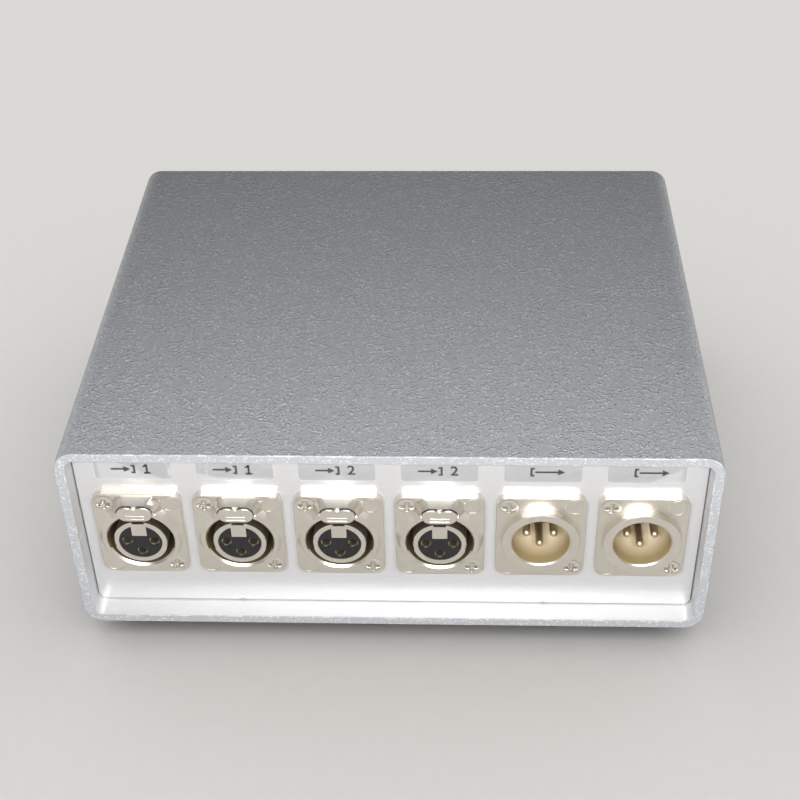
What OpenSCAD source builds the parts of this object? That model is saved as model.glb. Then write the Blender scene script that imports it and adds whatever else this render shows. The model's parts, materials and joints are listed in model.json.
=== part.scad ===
// Audio source selector: a switch box that joins one of two stereo inputs to a stereo output.
// Millimetres. +Z is up, the knob faces -Y and the socket row faces +Y.
// The origin is the middle of the underside of the bounding box.

/* [Case] */
// Width across the side walls
case_w = 188; // [170:0.5:220]
// Depth from front rim to rear rim
case_d = 158; // [150:0.5:200]
// Height of the two shells together
case_h = 67.5; // [64:0.5:80]
// Wall thickness of the shells
wall = 3; // [2.4:0.1:3.4]
// Outer radius of the long edges
edge_r = 6; // [5:0.25:7]
// Depth of the panels behind the rim
recess = 6.8; // [6.7:0.1:9]
// Chamfer along the seam of the shells
seam_chamfer = 0.5; // [0.2:0.1:0.8]
// Width of the strips that back the seam
strip_w = 12; // [8:0.5:16]
// Thickness of the seam strips
strip_t = 1.5; // [1:0.1:2]
// Gap from a panel to the ends of the seam strips
strip_gap = 4; // [2:0.5:8]
// Radius of the pillars that tie the shells
pillar_r = 3.5; // [3:0.1:4]
// Gap from a pillar to the panel's lip or to the board's solder tails
pillar_gap = 7; // [5:0.5:9]
// Distance of a pillar's axis from the case's sides
pillar_inset = 12; // [11:0.5:16]

/* [Feet] */
// Height of a foot
foot_h = 6; // [4:0.5:10]
// Radius of a foot where it meets the case
foot_r = 7; // [5:0.5:8]
// Draft of a foot, taken off its radius at the floor
foot_draft = 0.8; // [0.4:0.1:1.5]
// Distance of a foot's axis from the case's edges
foot_inset = 17; // [14:0.5:17.5]

/* [Panels] */
// Thickness of the panel plates
panel_t = 2; // [1.5:0.1:2.5]
// Gap between a panel and the shells
panel_gap = 0.25; // [0.1:0.05:0.4]
// Corner radius of a panel
panel_r = 3.2; // [3:0.1:5]
// Depth of the lip folded back from a panel's lower edge
lip_d = 14; // [11:0.5:16]
// Width of the lip
lip_w = 160; // [120:1:166]
// Distance of the lip screws from the middle
lip_screw_x = 46; // [30:1:60]
// Radius of the bend relief under each lip screw's place
relief_r = 0.8; // [0.5:0.1:1]
// Chamfer along a panel's lower edge
fold_chamfer = 0.4; // [0.2:0.1:0.6]

/* [Socket row] */
// Gap beyond the end sockets, counted in gaps between flanges
end_gaps = 1.25; // [1:0.05:2]
// Height of the socket axes above the case's underside
socket_h = 33; // [31:0.25:35]
// Width of a flange
flange_w = 26; // [25.5:0.1:27]
// Height of a flange
flange_h = 31; // [30.5:0.1:32]
// Thickness of a flange
flange_t = 2.5; // [2.2:0.1:2.8]
// Corner radius of a flange
flange_r = 3.2; // [2.5:0.1:3.5]
// Distance of the flange screws' axes from the flange's edges
screw_edge = 3.5; // [3.4:0.05:3.6]
// Radius of a socket's barrel behind the panel
barrel_r = 11.8; // [11.7:0.05:11.9]
// Length of a socket's barrel behind the panel
barrel_len = 16.5; // [16.2:0.1:18]
// Radius of the raised ring and the dish on a flange
badge_r = 2.9; // [2.5:0.1:3]
// Width of the raised ring
badge_w = 0.6; // [0.4:0.1:1]
// Height of the raised ring and depth of the dish
badge_h = 0.25; // [0.15:0.05:0.4]
// Depth of the insert's base at the rear of a barrel
base_len = 4; // [3.5:0.1:4.4]
// Radius of the circle that a socket's contacts stand on
contact_ring_r = 4; // [3.8:0.05:4.1]
// Radius of the solder tails
tail_r = 0.5; // [0.4:0.05:0.6]
// How far the solder tails pass the board
tail_past = 1.6; // [1:0.1:2]
// Chamfer at a socket's mouth
mouth_chamfer = 0.6; // [0.3:0.1:0.8]
// Draft of the collars and of the bezels' lower edge, added to their radius at the flange
rim_draft = 0.2; // [0.1:0.05:0.2]

/* [Label films] */
// Width of a label film
label_w = 22; // [18:0.5:26]
// Height of a label film
label_h = 9; // [6:0.5:9.5]
// Corner radius of a label film
label_r = 1; // [0.5:0.1:1.5]
// Thickness of a label film
label_t = 0.2; // [0.1:0.05:0.3]
// Gap from the upper shell down to a label film
label_drop = 2.8; // [0.5:0.1:4]

/* [Input sockets] */
// Radius of the opening that takes a plug's shell
bore_r = 9.7; // [9.6:0.05:9.8]
// How far the opening sits below the flange's centre
bore_drop = 1.2; // [1:0.05:1.3]
// Radius of the bezel around the opening
bezel_r = 11.4; // [11.2:0.05:11.5]
// Height of the bezel above the flange
bezel_h = 1.6; // [1.2:0.1:1.8]
// How far the slope around the bezel spreads at the flange
bezel_spread = 1.3; // [1.1:0.05:1.4]
// Outer radius of the sleeve
sleeve_r = 7.9; // [7.7:0.05:8]
// Inner radius of the sleeve
sleeve_core_r = 6.35; // [6.2:0.05:6.5]
// How far the sleeve stands in front of the bezel
sleeve_out = 0.4; // [0.2:0.05:0.6]
// Width of the sleeve's tongue
tongue_w = 4.4; // [4:0.1:4.8]
// Height of the sleeve's tongue below its inner wall
tongue_h = 4; // [3.5:0.1:4]
// Thickness of the sleeve's tongue
tongue_t = 0.8; // [0.6:0.1:1]
// How far the insert's face lies behind the sleeve's edge
insert_sunk = 0.1; // [0.05:0.05:0.2]
// Depth of the key groove in the sleeve
key_d = 0.9; // [0.7:0.05:1]
// Radius of the hole in a contact
contact_bore_r = 1.25; // [1.22:0.01:1.28]
// Wall thickness of a contact
contact_wall = 0.3; // [0.25:0.05:0.35]
// How far a contact's mouth lies behind the insert's face
contact_sunk = 0.5; // [0.3:0.1:0.8]
// Depth of the hole in a contact
contact_depth = 14; // [12:0.5:14.5]
// Thickness of a contact behind its hole
contact_end = 1; // [0.8:0.1:1.2]
// Room beside a plug's key
key_clear = 0.5; // [0.3:0.05:0.6]

/* [Push latch] */
// Width of the push tab
tab_w = 10.3; // [9.5:0.1:10.6]
// Height of the push tab
tab_h = 5.4; // [5.3:0.05:5.6]
// How far the tab's lower edge hangs below its stem
tab_hang = 0.35; // [0.2:0.05:0.4]
// How far the tab stands in front of the flange
tab_out = 4; // [3.8:0.05:4.1]
// Travel of the tab
push_travel = 2; // [1.5:0.1:2]
// Depth of the tab's pocket in the flange
pocket_d = 1.3; // [1.2:0.05:1.4]
// Height of the grip bars on the tab
grip_h = 0.2; // [0.1:0.05:0.25]
// Width of the grip bars on the tab
grip_w = 5.6; // [4:0.2:6]
// Thickness of a grip bar
grip_t = 0.6; // [0.4:0.1:0.7]
// Half width of the notch in the tab's upper edge
nick = 0.9; // [0.6:0.1:0.9]
// Wall of the brow over the tab's pocket, at the flange
brow_wall = 0.6; // [0.5:0.05:0.7]
// Wall of the brow at its front edge
brow_lip = 0.1; // [0.05:0.05:0.15]
// How far the brow spreads beside the tab's pocket, at the flange
brow_spread = 2; // [1.5:0.1:2.2]
// How far the brow's front edge lies behind the tab's face
brow_short = 0.5; // [0.4:0.05:0.6]
// How far the brow's lower edge runs down towards the flange
brow_drop = 1.5; // [1:0.1:1.8]
// Width of the stem
stem_w = 5.8; // [5.4:0.1:6]
// Thickness of the stem
stem_t = 1.4; // [1.2:0.05:1.4]
// Depth of the stem's fork behind the panel's face
fork_y = 1; // [0.8:0.1:1.2]
// Width of a prong of the stem
prong_w = 1.2; // [1:0.05:1.3]
// Depth of the prong tips behind the panel's face
prong_tip = 5; // [4.8:0.05:5]
// Height of a prong's tip
prong_tip_t = 0.5; // [0.4:0.05:0.6]
// Length of the ramps that lift the hook
ramp_len = 1.2; // [1:0.05:1.2]
// Gap between the prong tips and the hook's nose
nose_gap = 0.2; // [0.2:0.05:0.3]
// Rise of the hook's nose
nose_rise = 0.8; // [0.7:0.05:0.9]
// Depth of the hook's pin behind the panel's face
hook_pin_y = 14; // [13.8:0.1:14.4]
// Height of the hook's pin above the stem's underside
hook_rise = 0.8; // [0.7:0.05:0.9]
// Radius of the hook's pin
hook_pin_r = 0.6; // [0.5:0.02:0.6]
// Length of the hook's pin
hook_pin_len = 10; // [9:0.1:10]
// Thickness of the hook
hook_t = 1.2; // [1.1:0.05:1.2]
// How far the hook's tooth reaches into the opening
hook_bite = 1; // [0.7:0.05:1]
// Thickness of the hook's tooth
tooth_t = 1.2; // [1:0.05:1.4]
// Wall of the hook around its pin
hook_boss_t = 0.5; // [0.4:0.05:0.5]
// Wire radius of the push spring
push_wire_r = 0.17; // [0.14:0.01:0.18]
// Mean radius of the push spring
push_coil_r = 0.85; // [0.8:0.01:0.9]
// Turns of the push spring
push_turns = 4.5; // [3.5:0.5:4.5]
// Thickness of the tab in front of its spring
tab_skin = 0.8; // [0.7:0.05:0.9]

/* [Output sockets] */
// Radius of the cavity that takes a plug's nose
cavity_r = 8.3; // [8.2:0.05:8.4]
// Radius of the collar around the cavity
collar_r = 11.4; // [11.2:0.05:11.5]
// Height of the collar above the flange
collar_h = 2.6; // [2.2:0.1:3]
// Radius of a pin
pin_r = 1.2; // [1.18:0.01:1.22]
// Radius of a pin where it stands in the insert
pin_root_r = 0.9; // [0.8:0.02:1]
// How far a pin's tip lies behind the collar's face
pin_shy = 3.7; // [3:0.1:4.5]
// Width of the key rib in the cavity
key_w = 2.6; // [2:0.1:3]
// Height of the key rib
key_h = 1; // [0.8:0.1:1.2]

/* [Circuit board] */
// Thickness of the board
board_t = 1.6; // [1.2:0.1:2]
// Height of the board
board_h = 34; // [30:1:44]
// How far the board passes the outermost socket axes
board_past = 12.5; // [10:0.5:13]

/* [Switch] */
// Radius of the switch body
switch_r = 9.5; // [9:0.1:9.8]
// Length of the switch body
switch_len = 12; // [11:0.25:14]
// Wall thickness of the switch body
switch_wall = 1.2; // [1:0.1:1.4]
// Floor thickness of the switch body
switch_floor = 1.6; // [1.2:0.1:1.8]
// Thickness of the switch's front frame
frame_t = 1.2; // [1:0.1:2]
// Radius of the frame's bushing
neck_r = 4.5; // [4.2:0.1:5]
// Length of the frame's bushing
neck_len = 6; // [5:0.5:8]
// Radius of the circle of fixed contacts
stud_ring_r = 6.2; // [6:0.05:6.3]
// Radius of a fixed contact
stud_r = 0.7; // [0.5:0.05:0.8]
// Height of a fixed contact inside the switch
stud_h = 0.9; // [0.7:0.05:1]
// Fixed contacts on the circle
stud_count = 12; // [8:4:12]
// Wipers on the rotor
wiper_count = 4; // [2:1:4]
// Radius of the rotor disc
rotor_r = 7.4; // [7.2:0.05:7.6]
// Gap between the rotor disc and the switch's floor
rotor_gap = 2.4; // [2.2:0.1:2.6]
// Gap between the rotor disc and the detent wheel
wheel_gap = 1; // [0.8:0.1:1.2]
// Thickness of the rotor disc
rotor_t = 2.4; // [2:0.1:2.6]
// Tip radius of the detent wheel
detent_r = 6; // [5.8:0.05:6.1]
// Radius of the notches in the detent wheel
notch_r = 0.9; // [0.7:0.05:1]
// Depth of the notches in the detent wheel
notch_d = 0.6; // [0.4:0.05:0.7]
// Thickness of the detent wheel
detent_t = 2.6; // [2.2:0.1:3]
// Thickness of the detent spring
leaf_t = 0.4; // [0.3:0.05:0.5]
// Angle from position to position
index_deg = 30; // [30:30:60]

/* [Selector shaft] */
// Radius of the shafts
shaft_r = 3; // [2.9:0.05:3.2]
// How far the switch's shaft passes its bushing
stub_len = 9; // [8:0.5:10]
// Radius of the coupler
coupler_r = 6; // [5.5:0.1:6.5]
// Length of the coupler on each shaft
coupler_hold = 8.5; // [7:0.25:8.5]
// Gap between the two shafts' ends
shaft_gap = 1; // [0.5:0.1:1.5]
// Thread radius of the panel bushing
bushing_r = 5; // [4.8:0.1:5.5]
// Radius of the panel bushing's flange
bushing_flange_r = 7.5; // [7:0.1:9]
// Length of the panel bushing behind its flange
bushing_tail = 6; // [4:0.5:10]
// How far the panel bushing passes its nut
bushing_past = 0.8; // [0.4:0.1:1]
// Thickness of the panel bushing's flange and of its nut
bushing_nut_t = 2.4; // [2:0.1:2.6]
// Corner radius of the bushing's nut
bushing_nut_r = 8; // [7.5:0.1:8.4]

/* [Knob] */
// Radius of the knob
knob_r = 17; // [15:0.5:22]
// Length of the knob
knob_len = 17; // [15:0.5:22]
// Gap between the knob and the front panel
knob_gap = 1.2; // [0.8:0.1:1.6]
// Radius of the hollow behind the knob
hollow_r = 10; // [9:0.25:11]
// Depth of the hollow behind the knob
hollow_d = 5.5; // [4.5:0.25:6]
// Thickness of the knob in front of the shaft
knob_cap = 4; // [3:0.25:5]
// Chamfer of the knob's front edge
knob_chamfer = 1.6; // [0.8:0.1:2]
// Chamfer of the knob's rear edge
rear_chamfer = 0.8; // [0.4:0.1:1.2]
// Width of the pointer line
pointer_w = 1.6; // [1:0.1:2]
// Length of the pointer line
pointer_len = 9; // [6:0.5:11]
// Depth of the pointer line
pointer_d = 0.6; // [0.4:0.1:0.8]

/* [Fasteners] */
// Thread radius of every screw
screw_r = 1.5; // [1.4:0.05:1.5]
// Head radius of the screws
head_r = 2.8; // [2.6:0.05:2.8]
// Height of a raised head
head_h = 0.5; // [0.3:0.05:0.7]
// Height of the case screws' heads
case_head_h = 2; // [1.6:0.1:2.4]
// Corner radius of a flange nut
nut_r = 3.1; // [2.9:0.05:3.15]
// Thickness of a flange nut
nut_t = 2.4; // [2:0.1:2.6]
// How far a flange screw passes its nut
screw_past = 1; // [0.5:0.1:2]
// Corner radius of the hexagon socket in a grub screw
hex_r = 0.8; // [0.6:0.05:0.9]
// Depth of the hexagon socket
hex_d = 1.5; // [1:0.1:1.8]
// Length of thread in a pillar
pillar_grip = 8; // [6:0.5:10]
// Width of a slot of the cross recess
cross_w = 0.8; // [0.6:0.05:0.9]
// Width of the cross recess
cross_span = 3.4; // [3:0.1:3.6]
// Depth of the cross recess
cross_d = 1; // [0.6:0.1:1.2]

/* [Clearances] */
// Radial room of a turning fit
run_clear = 0.05; // [0.02:0.01:0.08]
// Radial room of a seated piece
seat_clear = 0.05; // [0.02:0.01:0.08]
// Radial room of a screw's hole
hole_clear = 0.2; // [0.1:0.05:0.25]
// Room beside a sliding or rocking piece
slide_clear = 0.4; // [0.35:0.05:0.45]
// Room between fixed and turning pieces of the switch
turn_clear = 0.3; // [0.25:0.05:0.4]
// Room around a tongue, a spring or a tab's travel
loose_clear = 0.2; // [0.15:0.05:0.25]

/* [Hidden] */
$fn = 64;
// Small overlap that lets cuts pass a face
cut = 1;
// Thickness of the outlines that a slope runs between
land = 0.1;
// Sides of a spring's wire and rings to one turn
wire_sides = 6;
coil_rings = 8;
INPUTS = ["input_1a", "input_1b", "input_2a", "input_2b"];
OUTPUTS = ["output_a", "output_b"];
sockets = len(INPUTS) + len(OUTPUTS);

SILVER = "#b9bcc0";
NICKEL = "#d6d2cb";
STEEL = "#9c9fa3";
BLACK = "#17181a";
BRASS = "#c9a24a";
GOLD = "#d9b35c";
RUBBER = "#222222";
BOARD = "#1f5b3a";
ALUMINIUM = "#c8cbcf";
FILM = "#e8ebee";

// Heights
case_z = foot_h + case_h / 2;
floor_z = foot_h + wall;
roof_z = foot_h + case_h - wall;
socket_z = foot_h + socket_h;
inner_r = edge_r - wall;

// Depths: the knob's reach shifts the case so that the whole is centred on the origin
knob_reach = knob_gap + knob_len - recess;
rear_rim_y = case_d / 2 + knob_reach / 2;
front_rim_y = rear_rim_y - case_d;
rear_face_y = rear_rim_y - recess;
front_face_y = front_rim_y + recess;
rear_lip_y = rear_face_y - panel_t - lip_d / 2;
front_lip_y = front_face_y + panel_t + lip_d / 2;
board_y = rear_face_y - barrel_len - board_t;
switch_mouth_y = board_y - switch_len;
neck_end_y = switch_mouth_y - frame_t - neck_len;
stub_end_y = neck_end_y - stub_len;
rear_pillar_y = board_y - pillar_gap - pillar_r;
front_pillar_y = front_face_y + panel_t + lip_d + pillar_gap + pillar_r;

// Panels
panel_w = case_w - 2 * wall - 2 * panel_gap;
panel_h = case_h - 2 * wall - panel_gap;
flange_gap = (panel_w - sockets * flange_w) / (sockets - 1 + 2 * end_gaps);
socket_pitch = flange_w + flange_gap;
label_z = roof_z - socket_z - label_drop - label_h / 2;

// Input sockets, in a frame at the panel's face: y is outwards, z is up from the flange's centre
corner_x = flange_w / 2 - screw_edge;
corner_z = flange_h / 2 - screw_edge;
bezel_front = flange_t + bezel_h;
sleeve_front = bezel_front + sleeve_out;
insert_front = sleeve_front - insert_sunk;
contact_front = insert_front - contact_sunk;
contact_foot = contact_front - contact_depth - contact_end;
contact_r = contact_bore_r + contact_wall;
base_front = base_len - barrel_len;
pocket_y = flange_t - pocket_d;
tab_front = flange_t + tab_out;
tab_back = pocket_y + push_travel + loose_clear;
pocket_w = tab_w + 2 * slide_clear;
pocket_h = tab_h + 2 * slide_clear;
brow_front = tab_front - brow_short;
slot_w = stem_w + 2 * slide_clear;
stem_z = bore_r - bore_drop + slide_clear;
stem_top = stem_z + stem_t;
tab_z = stem_z - tab_hang + tab_h / 2;
hook_pin_z = stem_z + hook_rise;
hook_w = stem_w - 2 * prong_w - 2 * slide_clear;
hook_z = hook_pin_z - hook_t / 2;
hook_top = hook_z + hook_t;
hook_nose = -prong_tip - nose_gap;
tooth_y = hook_nose - ramp_len;
tooth_z = bore_r - bore_drop - hook_bite;
spring_bore_r = push_coil_r + push_wire_r + loose_clear;
spring_z = tab_z + tab_h / 2 - tab_skin - spring_bore_r;
spring_end = tab_front - tab_skin;
spring_len = spring_end - pocket_y;

// Output sockets
collar_front = flange_t + collar_h;
pin_tip = collar_front - pin_shy;
pin_root = base_front - base_len / 2;

// Switch and selector, along Y
disc_y = board_y - switch_floor - rotor_gap;
wheel_y = disc_y - rotor_t - wheel_gap;
wiper_y = board_y - switch_floor - stud_h - turn_clear;
knob_y = front_face_y - knob_gap;
knob_grub_y = knob_y - (hollow_d + knob_len - knob_cap) / 2;
shaft_tip_y = knob_y - knob_len + knob_cap;
coupler_y = [stub_end_y - shaft_gap - coupler_hold, stub_end_y + coupler_hold];
coupler_grub_y = [coupler_y[0] + coupler_hold / 2, coupler_y[1] - coupler_hold / 2];
grub_len = coupler_r - shaft_r;
bushing_front_y = front_face_y - bushing_nut_t - bushing_past;
bushing_rear_y = front_face_y + panel_t + bushing_nut_t + bushing_tail;

// Places that repeat
function socket_x(i) = (sockets / 2 - 0.5 - i) * socket_pitch;
function drop(i) = i < len(INPUTS) ? bore_drop : 0;
contact_at = [[-contact_ring_r, 0], [contact_ring_r, 0], [0, -contact_ring_r]];
tail_end = -barrel_len - board_t - tail_past;
pillar_x = case_w / 2 - pillar_inset;
pillar_at = [for (x = [-1, 1], y = [front_pillar_y, rear_pillar_y]) [x * pillar_x, y]];
lip_screw_at = [for (x = [-1, 1], y = [front_lip_y, rear_lip_y]) [x * lip_screw_x, y]];
foot_x = case_w / 2 - foot_inset;
foot_at = [for (x = [-1, 1], y = [front_rim_y + foot_inset, rear_rim_y - foot_inset]) [x * foot_x, y]];

INPUT_PIECES = ["shell", "insert", "sleeve", "contacts", "button", "hook", "spring"];
OUTPUT_PIECES = ["shell", "insert", "pins"];

// Rectangle with round corners about the origin
module round_rect(w, h, r) {
    square([w - 2 * r, h], center = true);
    square([w, h - 2 * r], center = true);
    for (x = [-1, 1], y = [-1, 1])
        translate([x * (w / 2 - r), y * (h / 2 - r)])
            circle(r);
}

// Rectangle with half-round ends about the origin
module oblong(w, h) {
    square([w - h, h], center = true);
    for (x = [-1, 1])
        translate([x * (w - h) / 2, 0])
            circle(h / 2);
}

// Square stood on its corner, for chamfers
module diamond(half) {
    polygon([[half, 0], [0, half], [-half, 0], [0, -half]]);
}

// Outline in X and Z carried along Y
module along_y(y0, y1) {
    translate([0, y1, 0])
        rotate([90, 0, 0])
            linear_extrude(height = y1 - y0)
                children();
}

// Outline in Y and Z carried along X, about the middle
module along_x(w) {
    translate([-w / 2, 0, 0])
        rotate([90, 0, 90])
            linear_extrude(height = w)
                children();
}

module cone_y(r0, r1, y0, y1) {
    translate([0, y0, 0])
        rotate([-90, 0, 0])
            cylinder(r1 = r0, r2 = r1, h = y1 - y0);
}

module rod_y(r, y0, y1) {
    cone_y(r, r, y0, y1);
}

module rod_x(r, w) {
    rotate([0, 90, 0])
        cylinder(r = r, h = w, center = true);
}

// Box about the middle in X, given by its ends in Y and Z
module block(w, y0, y1, z0, z1) {
    translate([-w / 2, y0, z0])
        cube([w, y1 - y0, z1 - z0]);
}

module at_socket(i) {
    translate([socket_x(i), rear_face_y, socket_z])
        children();
}

module at_contacts(lower) {
    for (c = contact_at)
        translate([c[0], 0, c[1] - lower])
            children();
}

// Runs the selector's pieces along its axis
module on_axis() {
    translate([0, 0, socket_z])
        children();
}

// Cross recess cut down from the origin
module cross_recess() {
    for (turn = [0, 90])
        rotate(turn)
            translate([-cross_span / 2, -cross_w / 2, -cross_d])
                cube([cross_span, cross_w, cross_d + cut]);
}

// Half of the case: side is 1 for the upper shell and -1 for the lower one
module half_shell(side) {
    translate([0, 0, case_z])
        along_y(front_rim_y, rear_rim_y)
            difference() {
                round_rect(case_w, case_h, edge_r);
                round_rect(case_w - 2 * wall, case_h - 2 * wall, inner_r);
                translate([0, -side * case_h])
                    square([2 * case_w, 2 * case_h], center = true);
                for (x = [-1, 1])
                    translate([x * case_w / 2, 0])
                        diamond(seam_chamfer);
            }
}

module upper_shell() {
    color(SILVER)
        half_shell(1);
}

module lower_shell() {
    color(SILVER)
        difference() {
            half_shell(-1);
            for (p = pillar_at)
                translate([p[0], p[1], foot_h - cut])
                    cylinder(r = screw_r + hole_clear, h = wall + 2 * cut);
            for (p = lip_screw_at)
                translate([p[0], p[1], foot_h - cut]) {
                    cylinder(
                        r1 = head_r + seat_clear + cut, r2 = screw_r + seat_clear,
                        h = head_r - screw_r + cut
                    );
                    cylinder(r = screw_r + hole_clear, h = wall + 2 * cut);
                }
        }
}

module seam_strips() {
    color(ALUMINIUM)
        for (side = [-1, 1])
            translate([side * (case_w / 2 - wall - strip_t / 2), 0, 0])
                block(
                    strip_t, front_face_y + panel_t + strip_gap, rear_face_y - panel_t - strip_gap,
                    case_z - strip_w / 2, case_z + strip_w / 2
                );
}

module case_pillars() {
    color(ALUMINIUM)
        for (p = pillar_at)
            translate([p[0], p[1], floor_z])
                difference() {
                    cylinder(r = pillar_r, h = roof_z - floor_z);
                    translate([0, 0, -cut])
                        cylinder(r = screw_r + seat_clear, h = pillar_grip + 2 * cut);
                }
}

module case_screws() {
    color(STEEL)
        for (p = pillar_at)
            translate([p[0], p[1], foot_h])
                difference() {
                    union() {
                        translate([0, 0, -case_head_h])
                            cylinder(r = head_r, h = case_head_h);
                        cylinder(r = screw_r, h = wall + pillar_grip);
                    }
                    translate([0, 0, -case_head_h])
                        rotate([180, 0, 0])
                            cross_recess();
                }
}

module rubber_feet() {
    color(RUBBER)
        for (p = foot_at)
            translate([p[0], p[1], 0])
                cylinder(r1 = foot_r - foot_draft, r2 = foot_r, h = foot_h);
}

// Plate with its folded lip, in a frame at its outer face with y outwards
module panel_blank() {
    difference() {
        union() {
            translate([0, 0, floor_z + panel_h / 2])
                along_y(-panel_t, 0)
                    round_rect(panel_w, panel_h, panel_r);
            block(lip_w, -panel_t - lip_d, -panel_t / 2, floor_z, floor_z + panel_t);
        }
        translate([0, 0, floor_z])
            along_x(case_w)
                diamond(fold_chamfer);
        for (side = [-1, 1])
            translate([side * lip_screw_x, 0, floor_z]) {
                rod_y(relief_r, -panel_t / 2, cut);
                translate([0, -panel_t - lip_d / 2, -cut])
                    cylinder(r = screw_r + seat_clear, h = panel_t + 2 * cut);
            }
    }
}

module rear_panel() {
    color(SILVER)
        difference() {
            translate([0, rear_face_y, 0])
                panel_blank();
            for (i = [0 : sockets - 1])
                at_socket(i) {
                    rod_y(barrel_r + hole_clear, -panel_t - cut, cut);
                    at_flange_screws()
                        rod_y(screw_r + hole_clear, -panel_t - cut, cut);
                }
        }
}

module front_panel() {
    color(SILVER)
        difference() {
            translate([0, front_face_y, 0])
                mirror([0, 1, 0])
                    panel_blank();
            on_axis()
                rod_y(bushing_r + hole_clear, front_face_y - cut, front_face_y + panel_t + cut);
        }
}

module panel_screws() {
    color(STEEL)
        for (p = lip_screw_at)
            translate([p[0], p[1], foot_h])
                difference() {
                    union() {
                        cylinder(r1 = head_r, r2 = screw_r, h = head_r - screw_r);
                        cylinder(r = screw_r, h = wall + panel_t);
                    }
                    rotate([180, 0, 0])
                        cross_recess();
                }
}

module label_films() {
    color(FILM)
        for (i = [0 : sockets - 1])
            at_socket(i)
                translate([0, 0, label_z])
                    along_y(0, label_t)
                        round_rect(label_w, label_h, label_r);
}

// The two screws of a flange stand on a diagonal
module at_flange_screws() {
    for (side = [-1, 1])
        translate([side * corner_x, 0, side * corner_z])
            children();
}

module flange_screws() {
    color(NICKEL)
        for (i = [0 : sockets - 1])
            at_socket(i)
                at_flange_screws()
                    flange_screw();
}

// Oval head in the countersink, with the thread running back through the nut
module flange_screw() {
    top = flange_t + head_h;
    dome_r = (head_r * head_r + head_h * head_h) / (2 * head_h);
    difference() {
        union() {
            rod_y(screw_r, -panel_t - nut_t - screw_past, flange_t);
            cone_y(screw_r, head_r, flange_t - head_r + screw_r, flange_t);
            intersection() {
                rod_y(head_r, flange_t, top);
                translate([0, top - dome_r, 0])
                    sphere(dome_r);
            }
        }
        translate([0, top, 0])
            rotate([-90, 0, 0])
                cross_recess();
    }
}

module flange_nuts() {
    color(STEEL)
        for (i = [0 : sockets - 1])
            at_socket(i)
                at_flange_screws()
                    translate([0, -panel_t - nut_t, 0])
                        rotate([-90, 30, 0])
                            difference() {
                                cylinder(r = nut_r, h = nut_t, $fn = 6);
                                translate([0, 0, -cut])
                                    cylinder(r = screw_r + seat_clear, h = nut_t + 2 * cut);
                            }
}

// Flange with its screw holes, a raised ring and a dish
module flange() {
    difference() {
        union() {
            along_y(0, flange_t)
                round_rect(flange_w, flange_h, flange_r);
            translate([-corner_x, 0, corner_z])
                difference() {
                    rod_y(badge_r, 0, flange_t + badge_h);
                    rod_y(badge_r - badge_w, flange_t, flange_t + badge_h + cut);
                }
        }
        translate([corner_x, 0, -corner_z])
            rod_y(badge_r, flange_t - badge_h, flange_t + cut);
        at_flange_screws() {
            rod_y(screw_r + hole_clear, -cut, flange_t + cut);
            cone_y(screw_r + seat_clear, head_r + seat_clear, flange_t - head_r + screw_r, flange_t);
        }
    }
}

// Round mouth cut through a socket, with its front edge chamfered
module mouth(r, front) {
    rod_y(r, -barrel_len - cut, front + cut);
    cone_y(r, r + mouth_chamfer, front - mouth_chamfer, front);
}

// Slope up to the bezel, widest at the top
module bezel_slope() {
    hull() {
        translate([0, 0, bezel_spread - rim_draft])
            rod_y(bezel_r + bezel_spread, flange_t - land, flange_t);
        rod_y(bezel_r, bezel_front - land, bezel_front);
    }
}

// Brow of the casting over the push tab, whose lower edge runs back to the flange
module brow() {
    intersection() {
        hull() {
            along_y(flange_t - land, flange_t)
                oblong(pocket_w + 2 * brow_spread, pocket_h + 2 * brow_wall);
            along_y(brow_front - land, brow_front)
                oblong(pocket_w + 2 * brow_lip, pocket_h + 2 * brow_lip);
        }
        along_x(flange_w)
            polygon([
                [flange_t - land, -brow_drop],
                [brow_front, 0],
                [brow_front, pocket_h],
                [flange_t - land, pocket_h]
            ]);
    }
}

// Slope and brow of an input, kept within the flange and clear of its corners
module input_front() {
    difference() {
        intersection() {
            union() {
                translate([0, 0, -bore_drop])
                    bezel_slope();
                translate([0, 0, tab_z])
                    brow();
            }
            along_y(0, tab_front)
                round_rect(flange_w, flange_h, flange_r);
        }
        at_flange_screws()
            rod_y(head_r + seat_clear, flange_t - cut, tab_front);
        translate([corner_x, 0, -corner_z])
            rod_y(badge_r + seat_clear, flange_t - cut, tab_front);
        translate([-corner_x, 0, corner_z])
            rod_y(badge_r - badge_w / 2, flange_t - cut, tab_front);
    }
}

module input_shell() {
    color(NICKEL)
        difference() {
            union() {
                flange();
                rod_y(barrel_r, -barrel_len, 0);
                input_front();
            }
            translate([0, 0, -bore_drop])
                mouth(bore_r, bezel_front);
            translate([0, 0, tab_z])
                along_y(pocket_y, tab_front)
                    oblong(pocket_w, pocket_h);
            block(slot_w, -cut, pocket_y + cut, tooth_z, stem_top + slide_clear);
            block(slot_w, -barrel_len - cut, 0, tooth_z, barrel_r + cut);
            translate([0, -hook_pin_y, hook_pin_z])
                rod_x(hook_pin_r + seat_clear, hook_pin_len);
        }
}

module input_insert() {
    color(BLACK)
        difference() {
            translate([0, 0, -bore_drop]) {
                rod_y(sleeve_core_r - seat_clear, -barrel_len, insert_front);
                rod_y(bore_r - seat_clear, -barrel_len, base_front);
            }
            at_contacts(bore_drop) {
                rod_y(contact_r + seat_clear, contact_foot, insert_front + cut);
                rod_y(tail_r + seat_clear, -barrel_len - cut, 0);
            }
            translate([0, 0, -bore_drop])
                block(
                    tongue_w + 2 * loose_clear, sleeve_front - tongue_t - loose_clear, sleeve_front,
                    sleeve_core_r - tongue_h - loose_clear, sleeve_core_r
                );
            block(slot_w, -barrel_len - cut, base_front + cut, tooth_z, bore_r);
        }
}

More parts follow.
